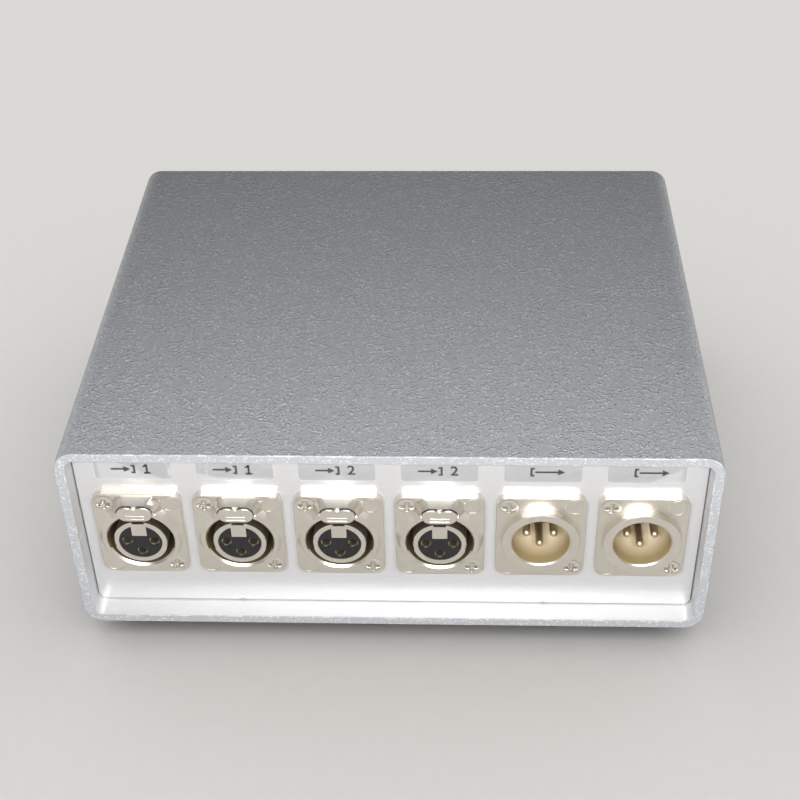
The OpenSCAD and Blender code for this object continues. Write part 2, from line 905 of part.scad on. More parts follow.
module input_sleeve() {
    color(NICKEL)
        translate([0, 0, -bore_drop]) {
            difference() {
                rod_y(sleeve_r, base_front, sleeve_front);
                rod_y(sleeve_core_r, base_front - cut, sleeve_front + cut);
                block(
                    key_w + 2 * key_clear, base_front - cut, sleeve_front + cut,
                    sleeve_r - key_d, sleeve_r + cut
                );
            }
            block(
                tongue_w, sleeve_front - tongue_t, sleeve_front,
                sleeve_core_r - tongue_h, sleeve_core_r + (sleeve_r - key_d - sleeve_core_r) / 2
            );
        }
}

// Hollow contact with a solder tail
module input_contacts() {
    color(GOLD)
        at_contacts(bore_drop) {
            difference() {
                rod_y(contact_r, contact_foot, contact_front);
                rod_y(contact_bore_r, contact_front - contact_depth, contact_front + cut);
            }
            rod_y(tail_r, tail_end, contact_foot);
        }
}

// Push tab with a forked stem, hollow behind for its spring
module input_button() {
    color(NICKEL)
        difference() {
            union() {
                translate([0, 0, tab_z])
                    along_y(tab_back, tab_front)
                        oblong(tab_w, tab_h);
                for (row = [1, 3])
                    translate([0, 0, tab_z - row * grip_t])
                        block(grip_w, tab_back, tab_front + grip_h, -grip_t / 2, grip_t / 2);
                block(stem_w, -fork_y, tab_back, stem_z, stem_top);
                for (side = [-1, 1])
                    translate([side * (stem_w - prong_w) / 2, 0, 0])
                        along_x(prong_w)
                            polygon([
                                [-fork_y, stem_z],
                                [-prong_tip, stem_z],
                                [-prong_tip, stem_z + prong_tip_t],
                                [-prong_tip + ramp_len, stem_top],
                                [-fork_y, stem_top]
                            ]);
            }
            translate([0, 0, spring_z])
                rod_y(spring_bore_r, tab_back - cut, spring_end);
            translate([0, 0, tab_z + tab_h / 2])
                along_y(tab_front - nick, tab_front + cut)
                    diamond(nick);
        }
}

// Latch hook: a pivoted bar whose shoulders ride up the prongs of the stem
module input_hook() {
    color(STEEL)
        difference() {
            union() {
                translate([0, -hook_pin_y, hook_pin_z])
                    rod_x(hook_pin_r + hook_boss_t, hook_w);
                block(hook_w, -hook_pin_y, tooth_y, hook_z, hook_top);
                along_x(stem_w)
                    polygon([
                        [tooth_y - tooth_t, hook_z],
                        [tooth_y, hook_z],
                        [hook_nose, hook_z + nose_rise],
                        [hook_nose, hook_top],
                        [tooth_y - tooth_t, hook_top]
                    ]);
                block(hook_w, tooth_y - tooth_t, tooth_y, tooth_z, hook_top);
            }
            translate([0, -hook_pin_y, hook_pin_z])
                rod_x(hook_pin_r + run_clear, hook_w + 2 * cut);
        }
}

// Point on ring i of a coil along Y, on side k of the wire
function coil_point(i, k, r, wire_r, rise) =
    let (reach = r + wire_r * cos(360 / wire_sides * k), turn = 360 / coil_rings * i)
    [reach * cos(turn), wire_r + rise * i + wire_r * sin(360 / wire_sides * k), reach * sin(turn)];

// Least distance from a ring of the coil to the ring one turn on
function coil_gap(r, wire_r, rise) = min([
    for (a = [0 : wire_sides - 1], b = [0 : wire_sides - 1])
        norm(coil_point(0, a, r, wire_r, rise) - coil_point(coil_rings, b, r, wire_r, rise))
]);

// Unbroken wire wound about Y
module coil(r, wire_r, turns, length) {
    rings = coil_rings * turns;
    rise = (length - 2 * wire_r) / rings;
    points = [for (i = [0 : rings], k = [0 : wire_sides - 1]) coil_point(i, k, r, wire_r, rise)];
    sides = [
        for (i = [0 : rings - 1], k = [0 : wire_sides - 1], upper = [0, 1])
            let (here = wire_sides * i + k, next = wire_sides * i + (k + 1) % wire_sides)
            upper ? [here, next + wire_sides, here + wire_sides] : [here, next, next + wire_sides]
    ];
    start = [for (k = [wire_sides - 1 : -1 : 0]) k];
    end = [for (k = [0 : wire_sides - 1]) wire_sides * rings + k];
    polyhedron(points, concat(sides, [start, end]));
    echo(coil_gap = coil_gap(r, wire_r, rise));
}

module input_spring() {
    color(STEEL)
        translate([0, pocket_y, spring_z])
            coil(push_coil_r, push_wire_r, push_turns, spring_len);
}

module hook_pins() {
    color(STEEL)
        for (i = [0 : len(INPUTS) - 1])
            at_socket(i)
                translate([0, -hook_pin_y, hook_pin_z])
                    rod_x(hook_pin_r, hook_pin_len);
}

module output_shell() {
    color(NICKEL) {
        difference() {
            union() {
                flange();
                rod_y(barrel_r, -barrel_len, 0);
                cone_y(collar_r + rim_draft, collar_r, flange_t, collar_front);
            }
            mouth(cavity_r, collar_front);
        }
        block(key_w, base_front, flange_t, cavity_r - key_h, (cavity_r + collar_r) / 2);
    }
}

module output_insert() {
    color(BLACK)
        difference() {
            rod_y(cavity_r - seat_clear, -barrel_len, base_front);
            at_contacts(0) {
                rod_y(pin_root_r + seat_clear, pin_root, base_front + cut);
                rod_y(tail_r + seat_clear, -barrel_len - cut, base_front);
            }
        }
}

module output_pins() {
    color(GOLD)
        at_contacts(0) {
            rod_y(pin_r, base_front, pin_tip - pin_r);
            translate([0, pin_tip - pin_r, 0])
                sphere(pin_r);
            rod_y(pin_root_r, pin_root, base_front);
            rod_y(tail_r, tail_end, pin_root);
        }
}

module circuit_board() {
    half_w = socket_x(0) + board_past;
    color(BOARD)
        difference() {
            on_axis()
                block(2 * half_w, board_y, board_y + board_t, -board_h / 2, board_h / 2);
            for (i = [0 : sockets - 1])
                at_socket(i)
                    at_contacts(drop(i))
                        rod_y(tail_r + seat_clear, tail_end, cut);
            at_studs()
                rod_y(tail_r + seat_clear, board_y - cut, board_y + board_t + cut);
        }
}

// Places of the switch's fixed contacts about its axis
module at_studs() {
    on_axis()
        for (i = [0 : stud_count - 1])
            rotate([0, (i + 0.5) * 360 / stud_count, 0])
                translate([0, 0, stud_ring_r])
                    children();
}

module switch_body() {
    color(BLACK)
        difference() {
            on_axis()
                rod_y(switch_r, switch_mouth_y, board_y);
            on_axis()
                rod_y(switch_r - switch_wall, switch_mouth_y - cut, board_y - switch_floor);
            at_studs()
                rod_y(tail_r + seat_clear, board_y - switch_floor - cut, board_y + cut);
        }
}

module switch_contacts() {
    inside_y = board_y - switch_floor;
    color(GOLD)
        at_studs() {
            rod_y(stud_r, inside_y - stud_h, inside_y);
            rod_y(tail_r, inside_y, board_y + board_t - loose_clear);
        }
}

// Frame that closes the switch and carries its bushing
module switch_frame() {
    color(STEEL)
        on_axis()
            difference() {
                union() {
                    rod_y(switch_r, switch_mouth_y - frame_t, switch_mouth_y);
                    rod_y(neck_r, neck_end_y, switch_mouth_y - frame_t);
                }
                rod_y(shaft_r + run_clear, neck_end_y - cut, switch_mouth_y + cut);
            }
}

// Shaft with the rotor disc and the detent wheel
module switch_rotor() {
    color(ALUMINIUM)
        on_axis()
            difference() {
                union() {
                    rod_y(shaft_r, stub_end_y, disc_y);
                    rod_y(rotor_r, disc_y - rotor_t, disc_y);
                    rod_y(detent_r, wheel_y - detent_t, wheel_y);
                }
                for (turn = [0 : index_deg : 359])
                    rotate([0, turn, 0])
                        translate([0, 0, detent_r + notch_r - notch_d])
                            rod_y(notch_r, wheel_y - detent_t - cut, wheel_y + wheel_gap / 2);
            }
}

// Four spring arcs that bridge neighbouring fixed contacts
module switch_wipers() {
    color(BRASS)
        on_axis()
            for (turn = [0 : 360 / wiper_count : 359])
                rotate([0, turn, 0])
                    translate([0, wiper_y, 0])
                        rotate([90, 0, 0])
                            rotate([0, 0, 90 - index_deg / 2])
                                rotate_extrude(angle = index_deg)
                                    translate([stud_ring_r - stud_r, 0])
                                        square([2 * stud_r, wiper_y - disc_y]);
}

// Leaf inside the body with a nose over the detent wheel
module detent_spring() {
    outer = switch_r - switch_wall - seat_clear;
    nose_r = (outer - detent_r - turn_clear) / 2;
    color(STEEL)
        on_axis()
            intersection() {
                union() {
                    difference() {
                        rod_y(outer, wheel_y - detent_t, wheel_y);
                        rod_y(outer - leaf_t, wheel_y - detent_t - cut, wheel_y + cut);
                    }
                    translate([0, 0, outer - nose_r])
                        rod_y(nose_r, wheel_y - detent_t, wheel_y);
                }
                block(outer, wheel_y - detent_t, wheel_y, 0, outer);
            }
}

// Radial hole or screw through the selector's pieces, from r0 out to r1
module radial(r, y, r0, r1) {
    translate([0, y, -r1])
        cylinder(r = r, h = r1 - r0);
}

module extension_shaft() {
    color(STEEL)
        on_axis()
            rod_y(shaft_r, shaft_tip_y, stub_end_y - shaft_gap);
}

module shaft_coupler() {
    color(BRASS)
        on_axis()
            difference() {
                rod_y(coupler_r, coupler_y[0], coupler_y[1]);
                rod_y(shaft_r + seat_clear, coupler_y[0] - cut, coupler_y[1] + cut);
                for (y = coupler_grub_y)
                    radial(screw_r + seat_clear, y, 0, coupler_r + cut);
            }
}

module grub_screws() {
    color(STEEL)
        on_axis()
            for (y = concat(coupler_grub_y, [knob_grub_y]))
                difference() {
                    radial(screw_r, y, shaft_r, shaft_r + grub_len);
                    translate([0, y, -shaft_r - grub_len - cut])
                        cylinder(r = hex_r, h = hex_d + cut, $fn = 6);
                }
}

// Bearing of the shaft in the front panel: flange inside, thread out through the panel
module panel_bushing() {
    inside_y = front_face_y + panel_t;
    color(BRASS)
        on_axis()
            difference() {
                union() {
                    rod_y(bushing_r, bushing_front_y, bushing_rear_y);
                    rod_y(bushing_flange_r, inside_y, inside_y + bushing_nut_t);
                }
                rod_y(shaft_r + run_clear, bushing_front_y - cut, bushing_rear_y + cut);
            }
}

module bushing_nut() {
    color(NICKEL)
        on_axis()
            translate([0, front_face_y, 0])
                rotate([90, 30, 0])
                    difference() {
                        cylinder(r = bushing_nut_r, h = bushing_nut_t, $fn = 6);
                        translate([0, 0, -cut])
                            cylinder(r = bushing_r + seat_clear, h = bushing_nut_t + 2 * cut);
                    }
}

// Turned knob, drawn upright and then tipped so that its face looks to the front
module selector_knob() {
    color(ALUMINIUM)
        difference() {
            translate([0, knob_y, socket_z])
                rotate([90, 0, 0])
                    difference() {
                        rotate_extrude()
                            polygon([
                                [0, 0],
                                [knob_r - rear_chamfer, 0],
                                [knob_r, rear_chamfer],
                                [knob_r, knob_len - knob_chamfer],
                                [knob_r - knob_chamfer, knob_len],
                                [0, knob_len]
                            ]);
                        translate([0, 0, -cut])
                            cylinder(r = hollow_r, h = hollow_d + cut);
                        cylinder(r = shaft_r + seat_clear, h = knob_len - knob_cap);
                        rotate([0, 0, index_deg / 2])
                            translate([-pointer_w / 2, knob_r - pointer_len, knob_len - pointer_d])
                                cube([pointer_w, pointer_len + cut, pointer_d + cut]);
                    }
            on_axis()
                radial(screw_r + seat_clear, knob_grub_y, 0, knob_r + cut);
        }
}

upper_shell();
lower_shell();
seam_strips();
case_pillars();
case_screws();
rubber_feet();
rear_panel();
front_panel();
panel_screws();
label_films();
flange_screws();
flange_nuts();
for (i = [0 : len(INPUTS) - 1]) {
    at_socket(i) input_shell();
    at_socket(i) input_insert();
    at_socket(i) input_sleeve();
    at_socket(i) input_contacts();
    at_socket(i) input_button();
    at_socket(i) input_hook();
    at_socket(i) input_spring();
}
hook_pins();
for (i = [0 : len(OUTPUTS) - 1]) {
    at_socket(len(INPUTS) + i) output_shell();
    at_socket(len(INPUTS) + i) output_insert();
    at_socket(len(INPUTS) + i) output_pins();
}
circuit_board();
switch_body();
switch_contacts();
switch_frame();
switch_rotor();
switch_wipers();
detent_spring();
extension_shaft();
shaft_coupler();
grub_screws();
panel_bushing();
bushing_nut();
selector_knob();
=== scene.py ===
"""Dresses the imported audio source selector: finishes, soft edges, marks, floor, lights and camera."""

import json
import math

import bmesh
import bpy
from bpy.props import FloatProperty, FloatVectorProperty, PointerProperty
from mathutils import Matrix, Quaternion, Vector

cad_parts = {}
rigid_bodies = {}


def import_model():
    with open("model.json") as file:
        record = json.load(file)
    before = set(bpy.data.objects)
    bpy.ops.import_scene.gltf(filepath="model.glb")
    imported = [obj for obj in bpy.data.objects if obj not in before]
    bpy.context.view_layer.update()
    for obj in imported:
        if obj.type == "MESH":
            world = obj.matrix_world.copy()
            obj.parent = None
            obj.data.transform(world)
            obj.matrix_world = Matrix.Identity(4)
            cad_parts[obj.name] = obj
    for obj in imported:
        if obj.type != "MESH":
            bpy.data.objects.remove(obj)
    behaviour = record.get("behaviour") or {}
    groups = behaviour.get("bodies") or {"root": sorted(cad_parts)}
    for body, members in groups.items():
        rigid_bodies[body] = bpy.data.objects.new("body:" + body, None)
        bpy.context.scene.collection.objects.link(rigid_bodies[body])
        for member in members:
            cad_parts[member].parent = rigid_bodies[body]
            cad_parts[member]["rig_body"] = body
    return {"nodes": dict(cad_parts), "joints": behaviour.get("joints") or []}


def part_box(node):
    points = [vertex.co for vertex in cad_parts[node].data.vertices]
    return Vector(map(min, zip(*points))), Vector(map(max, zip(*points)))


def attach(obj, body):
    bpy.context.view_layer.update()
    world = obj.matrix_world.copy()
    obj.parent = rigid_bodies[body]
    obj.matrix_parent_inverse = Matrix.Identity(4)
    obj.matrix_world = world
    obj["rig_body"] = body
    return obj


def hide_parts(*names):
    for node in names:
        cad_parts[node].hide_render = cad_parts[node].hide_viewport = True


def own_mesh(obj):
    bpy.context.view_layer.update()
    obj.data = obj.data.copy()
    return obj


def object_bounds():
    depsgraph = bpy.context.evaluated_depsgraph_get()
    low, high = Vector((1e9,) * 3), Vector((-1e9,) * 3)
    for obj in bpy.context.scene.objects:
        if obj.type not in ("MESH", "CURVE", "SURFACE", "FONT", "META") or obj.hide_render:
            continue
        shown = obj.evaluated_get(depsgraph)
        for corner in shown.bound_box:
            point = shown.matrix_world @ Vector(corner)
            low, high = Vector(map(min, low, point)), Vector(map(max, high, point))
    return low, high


bl_info = {
    "name": "Audio source selector",
    "version": (1, 0, 0),
    "blender": (4, 5, 0),
    "location": "View3D > Sidebar > Selector",
    "description": "Dresses the CAD frame of an audio source selector",
    "category": "Object",
}

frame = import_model()
cad_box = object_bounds()

MM = 0.001
# How high the room's pale walls reach over the horizon
WALL_TOP = math.radians(22)
INPUTS = ("input_1a", "input_1b", "input_2a", "input_2b")
OUTPUTS = ("output_a", "output_b")

# Loose CAD triangles closer than this are one surface, and faces within this angle are one flat
WELD = 0.001 * MM
FLAT = math.radians(0.2)
# Edges sharper than this count as edges, and show as edges
SHARP = math.radians(32)
# How near a corner has to be to a plane or a radius that an edge is picked by
NEAR = 0.03 * MM
# How far a face may turn to the front or back and still count as an inner face
TURNED = 0.66
# How much the coat is rubbed off the rims
RIM_WEAR = 0.6

# Sockets of a colour Mix node: its factor, its two colours and its result
FACTOR = 0
FIRST = 6
SECOND = 7
MIXED = 2

# Turns a mark's own right, up and outwards to the frame's axes on the socket side and on the knob side
SOCKET_SIDE = Matrix(((-1, 0, 0, 0), (0, 0, 1, 0), (0, 1, 0, 0), (0, 0, 0, 1)))
KNOB_SIDE = Matrix(((1, 0, 0, 0), (0, 0, -1, 0), (0, 1, 0, 0), (0, 0, 0, 1)))


def linear(code):
    """Linear RGB of an sRGB hex colour."""
    parts = [int(code[i:i + 2], 16) / 255 for i in (1, 3, 5)]
    return tuple(c / 12.92 if c <= 0.04045 else ((c + 0.055) / 1.055) ** 2.4 for c in parts)


def colour(name, code, description):
    """A colour property that starts from an sRGB hex value."""
    return FloatVectorProperty(
        name=name, description=description, subtype="COLOR", default=linear(code), min=0, max=1
    )


def length(name, size, description):
    """A length property that starts from a size in millimetres."""
    return FloatProperty(
        name=name, description=description, unit="LENGTH", default=size * MM, min=0, precision=5
    )


def share(name, value, description):
    """A property from 0 to 1."""
    return FloatProperty(name=name, description=description, subtype="FACTOR", default=value, min=0, max=1)


def angle(name, degrees, description):
    """An angle property that starts from degrees."""
    return FloatProperty(name=name, description=description, subtype="ANGLE", default=math.radians(degrees))


def power(name, watts, description):
    """A lamp power property."""
    return FloatProperty(name=name, description=description, subtype="POWER", default=watts, min=0)


class CoatLook(bpy.types.PropertyGroup):
    """Looks of the coated shells and panels."""

    silver: colour("Silver", "#bbbec2", "Coat on the tops of its pimples")
    # Hollows: painted shade, the coat painted darker between its pimples
    hollow_shade: colour("Hollows", "#adb0b4", "Coat between its pimples")
    # Flakes: near-white painted glints in the coat
    flake_glint: colour("Flakes", "#f6f6f6", "Metal flakes in the coat")
    bare: colour("Bare metal", "#e2e1e0", "Aluminium where the coat is rubbed off")
    pimple: length("Pimple", 0.88, "Size of the coat's pimples, drawn coarse enough to show")
    sand: length("Sand", 0.45, "Size of the coat's fine grain, drawn coarse enough to show")
    depth: length("Depth", 0.24, "Height of the pimples")
    gloss: share("Roughness", 0.58, "Roughness of the coat")
    satin: colour("Satin", "#dbdbdc", "Blasted aluminium of the panels and of the case's inside")
    blast: length("Blast grain", 0.5, "Size of the blasted grain, drawn coarse enough to show")
    sheen: share("Satin roughness", 0.42, "Roughness of the blasted aluminium")
    rim: length("Rim rounding", 0.35, "Rounding of the shells' rims")
    panel: length("Panel rounding", 0.25, "Rounding of the panels' edges")


class PlatingLook(bpy.types.PropertyGroup):
    """Looks of the nickel-plated sockets and tabs."""

    nickel: colour("Nickel", "#e9e4db", "Nickel plate")
    shade: colour("Shade", "#e0dacf", "Nickel plate in its duller patches")
    wave: length("Waviness", 3.5, "Size of the casting's slow waves under the plate")
    mouth_tone: colour("Mouth lining", "#ab9870", "Thin plate on the brassy casting, just inside a socket")
    # Deep lining: painted light, the lining painted brighter deep in a socket
    deep_painted_light: colour("Deep lining", "#fff2d6", "Thin plate on the brassy casting, deep in a socket")
    # Groove lining: painted shade, dark in the grooves around the sleeves
    groove_shade_tone: colour("Groove lining", "#63573e", "Bare brassy casting in the grooves around the sleeves")
    gloss: share("Roughness", 0.36, "Roughness of the plate")
    dull: share("Lining roughness", 0.5, "Roughness inside a socket, where the plate is thin")
    flange: length("Flange rounding", 0.25, "Rounding of a flange's outline")
    ring: length("Ring rounding", 0.3, "Rounding of the bezels and collars")
    mouth: length("Mouth rounding", 0.2, "Rounding of the sockets' mouths and the sleeves' bores")
    bezel: length("Bezel rounding", 0.5, "Rounding between the inputs' bores and the slopes around them")
    sleeve: length("Sleeve rounding", 0.6, "Rounding of the sleeves' shoulders")
    seat: length("Screw seat", 0.3, "Rounding of the flange around its screws")
    mark: length("Ring and dish rounding", 0.24, "Rounding of the raised ring and the dish on a flange")
    lip: length("Contact lip", 0.13, "Rounding of the contacts' lips")
    tab: length("Tab rounding", 0.45, "Rounding of the push tabs")
    grip: length("Grip rounding", 0.15, "Rounding of the grip bars on the push tabs")


class MarkLook(bpy.types.PropertyGroup):
    """Looks of the printed marks."""

    ink: colour("Ink", "#343236", "Ink of the marks")
    numeral: length("Numeral", 3.5, "Height of a numeral on a label film")
    dial_numeral: length("Dial numeral", 4.6, "Height of a numeral beside the knob")
    stroke: length("Stroke", 0.6, "Width of the lines in a mark")
    bold: length("Boldness", 0.07, "How far the numerals are swollen")
    arrow: length("Arrow", 5.6, "Length of an arrow")
    bracket: length("Bracket", 3.2, "Height of the bracket that an arrow enters or leaves")
    low: length("Drop", 0.7, "How far the marks sit below the middle of their film, clear of the rim's shade")
    thick: length("Ink thickness", 0.03, "Thickness of the ink")


class KnobLook(bpy.types.PropertyGroup):
    """Looks of the selector knob."""

    metal: colour("Aluminium", "#c9cbce", "Anodised aluminium of the knob")
    rings: length("Turning marks", 0.5, "Distance between the turning marks, drawn coarse enough to show")
    edge: length("Edge rounding", 0.3, "Rounding of the knob's edges")


class StageLook(bpy.types.PropertyGroup):
    """The floor, the lights and the camera."""

    floor: colour("Floor", "#cccac7", "Paper that the selector stands on")
    place: FloatVectorProperty(
        name="Camera", description="Place of the camera", subtype="TRANSLATION", unit="LENGTH",
        default=(-19.94 * MM, 391.38 * MM, 338.44 * MM),
    )
    yaw: angle("Yaw", -2.926, "Turn of the camera from the socket row's own direction")
    pitch: angle("Pitch", 38.555, "How far the camera looks down")
    roll: angle("Roll", 1.475, "Tilt of the camera about its view")
    lens: FloatProperty(name="Lens", description="Focal length on a 36 mm sensor", default=65.957, min=1)
    key: power("Key", 2.5, "Softbox just below the camera")
    side: power("Sides", 0.1, "Each of two dim cards beside the socket row")
    fill: power("Fill", 3.2, "Each of two low softboxes beside the knob side")
    wash: power("Floor wash", 880, "Wide lamp overhead that lights the floor alone")
    walls: share("Walls", 0.68, "Brightness of the room's pale walls, at the height of the floor")
    ceiling: share("Ceiling", 0.015, "Brightness of the room overhead")
    room: colour("Room", "#fffdfa", "Colour of the room's light")


class SelectorLooks(bpy.types.PropertyGroup):
    """All looks of the selector."""

    coat: PointerProperty(type=CoatLook)
    plating: PointerProperty(type=PlatingLook)
    marks: PointerProperty(type=MarkLook)
    knob: PointerProperty(type=KnobLook)
    stage: PointerProperty(type=StageLook)


def add(tree, kind, sockets=None, **settings):
    """Adds a node with its settings, and gives each named input a value or a link."""
    node = tree.nodes.new(kind)
    for name, value in settings.items():
        setattr(node, name, value)
    for key, value in (sockets or {}).items():
        if isinstance(value, bpy.types.NodeSocket):
            tree.links.new(value, node.inputs[key])
        else:
            node.inputs[key].default_value = value
    return node


def finish(name, build, *looks):
    """The material of that name, built the first time that a piece asks for it."""
    ready = bpy.data.materials.get(name)
    if ready:
        return ready
    material = bpy.data.materials.new(name)
    material.use_nodes = True
    tree = material.node_tree
    place = add(tree, "ShaderNodeTexCoord").outputs["Object"]
    build(tree, tree.nodes["Principled BSDF"], place, *looks)
    return material


def opaque(rgb):
    """An RGB colour with full alpha, as colour sockets want it."""
    return (*rgb, 1.0)


# Powder coat: how fast a pimple rises out of its noise, the sand's share of the relief, the scale of the
# crowds to that of the pimples, the size of a rubbed patch in pimples, the share of the depth that is
# left on the rims, and the lot of a flake and the strength of its painted glint
PIMPLE_RISE = 0.12
SAND_SHARE = 0.25
CROWD_SCALE = 0.15
PATCH_SIZE = 4.5
RIM_DEPTH = 0.17
FLAKE_LOT = 0.92
FLAKE_STRENGTH = 0.35


def powder_coat(tree, shader, place, look):
    """Sand-textured powder coat, baked on aluminium: pimples break up the light, metal flakes glint in it,
    and the rubbed edges show bright metal. The hollows between the pimples are painted darker, as painted
    shade, and the flakes are painted near-white, as painted glints."""
    pimples = add(
        tree, "ShaderNodeTexNoise",
        {"Vector": place, "Scale": 1 / look.pimple, "Detail": 1.0, "Roughness": 0.5},
    ).outputs[0]
    sand = add(
        tree, "ShaderNodeTexNoise", {"Vector": place, "Scale": 1 / look.sand, "Detail": 2.0}
    ).outputs[0]
    # The pimples have steep sides, and crowd in some places more than in others
    crowds = add(
        tree, "ShaderNodeTexNoise", {"Vector": place, "Scale": CROWD_SCALE / look.pimple, "Detail": 1.0}
    ).outputs[0]
    foot = add(
        tree, "ShaderNodeMapRange",
        {"Value": crowds, "From Min": 0.3, "From Max": 0.7, "To Min": 0.59, "To Max": 0.49},
    ).outputs[0]
    crest = add(tree, "ShaderNodeMath", {0: foot, 1: PIMPLE_RISE}).outputs[0]
    tops = add(
        tree, "ShaderNodeMapRange", {"Value": pimples, "From Min": foot, "From Max": crest},
        interpolation_type="SMOOTHSTEP",
    ).outputs[0]
    height = add(
        tree, "ShaderNodeMath", {0: sand, 1: SAND_SHARE, 2: tops}, operation="MULTIPLY_ADD"
    ).outputs[0]
    # The coat lies thinner and smoother on the rims, which face along Y
    facing = add(tree, "ShaderNodeTexCoord").outputs["Normal"]
    along = add(tree, "ShaderNodeSeparateXYZ", {0: facing}).outputs["Y"]
    rims = add(tree, "ShaderNodeMath", {0: along}, operation="ABSOLUTE").outputs[0]
    thick = add(
        tree, "ShaderNodeMapRange",
        {
            "Value": rims, "From Min": 0.2, "From Max": 0.8,
            "To Min": look.depth, "To Max": RIM_DEPTH * look.depth,
        },
    ).outputs[0]
    bump = add(tree, "ShaderNodeBump", {"Height": height, "Strength": 1.0, "Distance": thick})
    # The hollows between the pimples are painted darker than their tops, as painted shade
    relief = add(tree, "ShaderNodeMapRange", {"Value": height, "From Min": 0.1, "From Max": 1.3}).outputs[0]
    ground = add(
        tree, "ShaderNodeMix",
        {FACTOR: relief, FIRST: opaque(look.hollow_shade), SECOND: opaque(look.silver)},
        data_type="RGBA",
    ).outputs[MIXED]
    # One cell in twelve is a flake that faces the light, painted near-white as a painted glint
    cells = add(tree, "ShaderNodeTexVoronoi", {"Vector": place, "Scale": 1 / look.sand}).outputs["Color"]
    lot = add(tree, "ShaderNodeSeparateColor", {0: cells}).outputs[0]
    flakes = add(tree, "ShaderNodeMath", {0: lot, 1: FLAKE_LOT}, operation="GREATER_THAN").outputs[0]
    glint = add(tree, "ShaderNodeMath", {0: flakes, 1: FLAKE_STRENGTH}, operation="MULTIPLY").outputs[0]
    flaked = add(
        tree, "ShaderNodeMix",
        {FACTOR: glint, FIRST: ground, SECOND: opaque(look.flake_glint)},
        data_type="RGBA",
    ).outputs[MIXED]
    # The rounded edges carry a wear value, and the coat is gone from them in patches
    edge = add(tree, "ShaderNodeAttribute", attribute_name="wear").outputs["Fac"]
    patches = add(
        tree, "ShaderNodeTexNoise", {"Vector": place, "Scale": 1 / (PATCH_SIZE * look.pimple), "Detail": 4.0}
    ).outputs[0]
    rubbed = add(tree, "ShaderNodeMapRange", {"Value": patches, "From Min": 0.5, "From Max": 0.62}).outputs[0]
    worn = add(tree, "ShaderNodeMath", {0: edge, 1: rubbed}, operation="MULTIPLY").outputs[0]
    base = add(
        tree, "ShaderNodeMix",
        {FACTOR: worn, FIRST: flaked, SECOND: opaque(look.bare)},
        data_type="RGBA",
    ).outputs[MIXED]
    gloss = add(
        tree, "ShaderNodeMapRange",
        {
            "Value": sand, "From Min": 0.3, "From Max": 0.7,
            "To Min": look.gloss - 0.06, "To Max": look.gloss + 0.08,
        },
    ).outputs[0]
    tree.links.new(base, shader.inputs["Base Color"])
    tree.links.new(gloss, shader.inputs["Roughness"])
    tree.links.new(bump.outputs[0], shader.inputs["Normal"])
    shader.inputs["Metallic"].default_value = 0.08
    shader.inputs["Specular IOR Level"].default_value = 0.25


def blasted_aluminium(tree, shader, place, look):
    """Aluminium, bead blasted and clear anodised: an even silver satin that glows in the corners."""
    grain = add(
        tree, "ShaderNodeTexNoise", {"Vector": place, "Scale": 1 / look.blast, "Detail": 3.0}
    ).outputs[0]
    dull = tuple(0.88 * c for c in look.satin)
    base = add(
        tree, "ShaderNodeMix",
        {FACTOR: grain, FIRST: opaque(look.satin), SECOND: opaque(dull)},
        data_type="RGBA",
    ).outputs[MIXED]
    bump = add(tree, "ShaderNodeBump", {"Height": grain, "Strength": 1.0, "Distance": 0.02 * MM})
    tree.links.new(base, shader.inputs["Base Color"])
    tree.links.new(bump.outputs[0], shader.inputs["Normal"])
    shader.inputs["Metallic"].default_value = 0.5
    shader.inputs["Roughness"].default_value = look.sheen


def nickel_plate(tree, shader, place, look):
    """Satin nickel on a zinc casting: warm and smooth, with the casting's slow waves and soft highlights."""
    waves = add(
        tree, "ShaderNodeTexNoise", {"Vector": place, "Scale": 1 / look.wave, "Detail": 2.0}
    ).outputs[0]
    hairs = add(
        tree, "ShaderNodeTexNoise", {"Vector": place, "Scale": 4 / look.wave, "Detail": 4.0, "Roughness": 0.7}
    ).outputs[0]
    base = add(
        tree, "ShaderNodeMix",
        {FACTOR: waves, FIRST: opaque(look.nickel), SECOND: opaque(look.shade)},
        data_type="RGBA",
    ).outputs[MIXED]
    shine = add(
        tree, "ShaderNodeMapRange",
        {
            "Value": hairs, "From Min": 0.35, "From Max": 0.75,
            "To Min": look.gloss - 0.02, "To Max": look.gloss + 0.03,
        },
    ).outputs[0]
    bump = add(tree, "ShaderNodeBump", {"Height": waves, "Strength": 1.0, "Distance": 0.006 * MM})
    tree.links.new(base, shader.inputs["Base Color"])
    tree.links.new(shine, shader.inputs["Roughness"])
    tree.links.new(bump.outputs[0], shader.inputs["Normal"])
    shader.inputs["Metallic"].default_value = 1.0


# Depths behind the collars' fronts between which a lining goes from its mouth tone to its deep tone; the
# brighter deep tone is painted light
LINING_DEPTHS = (3 * MM, 12 * MM)


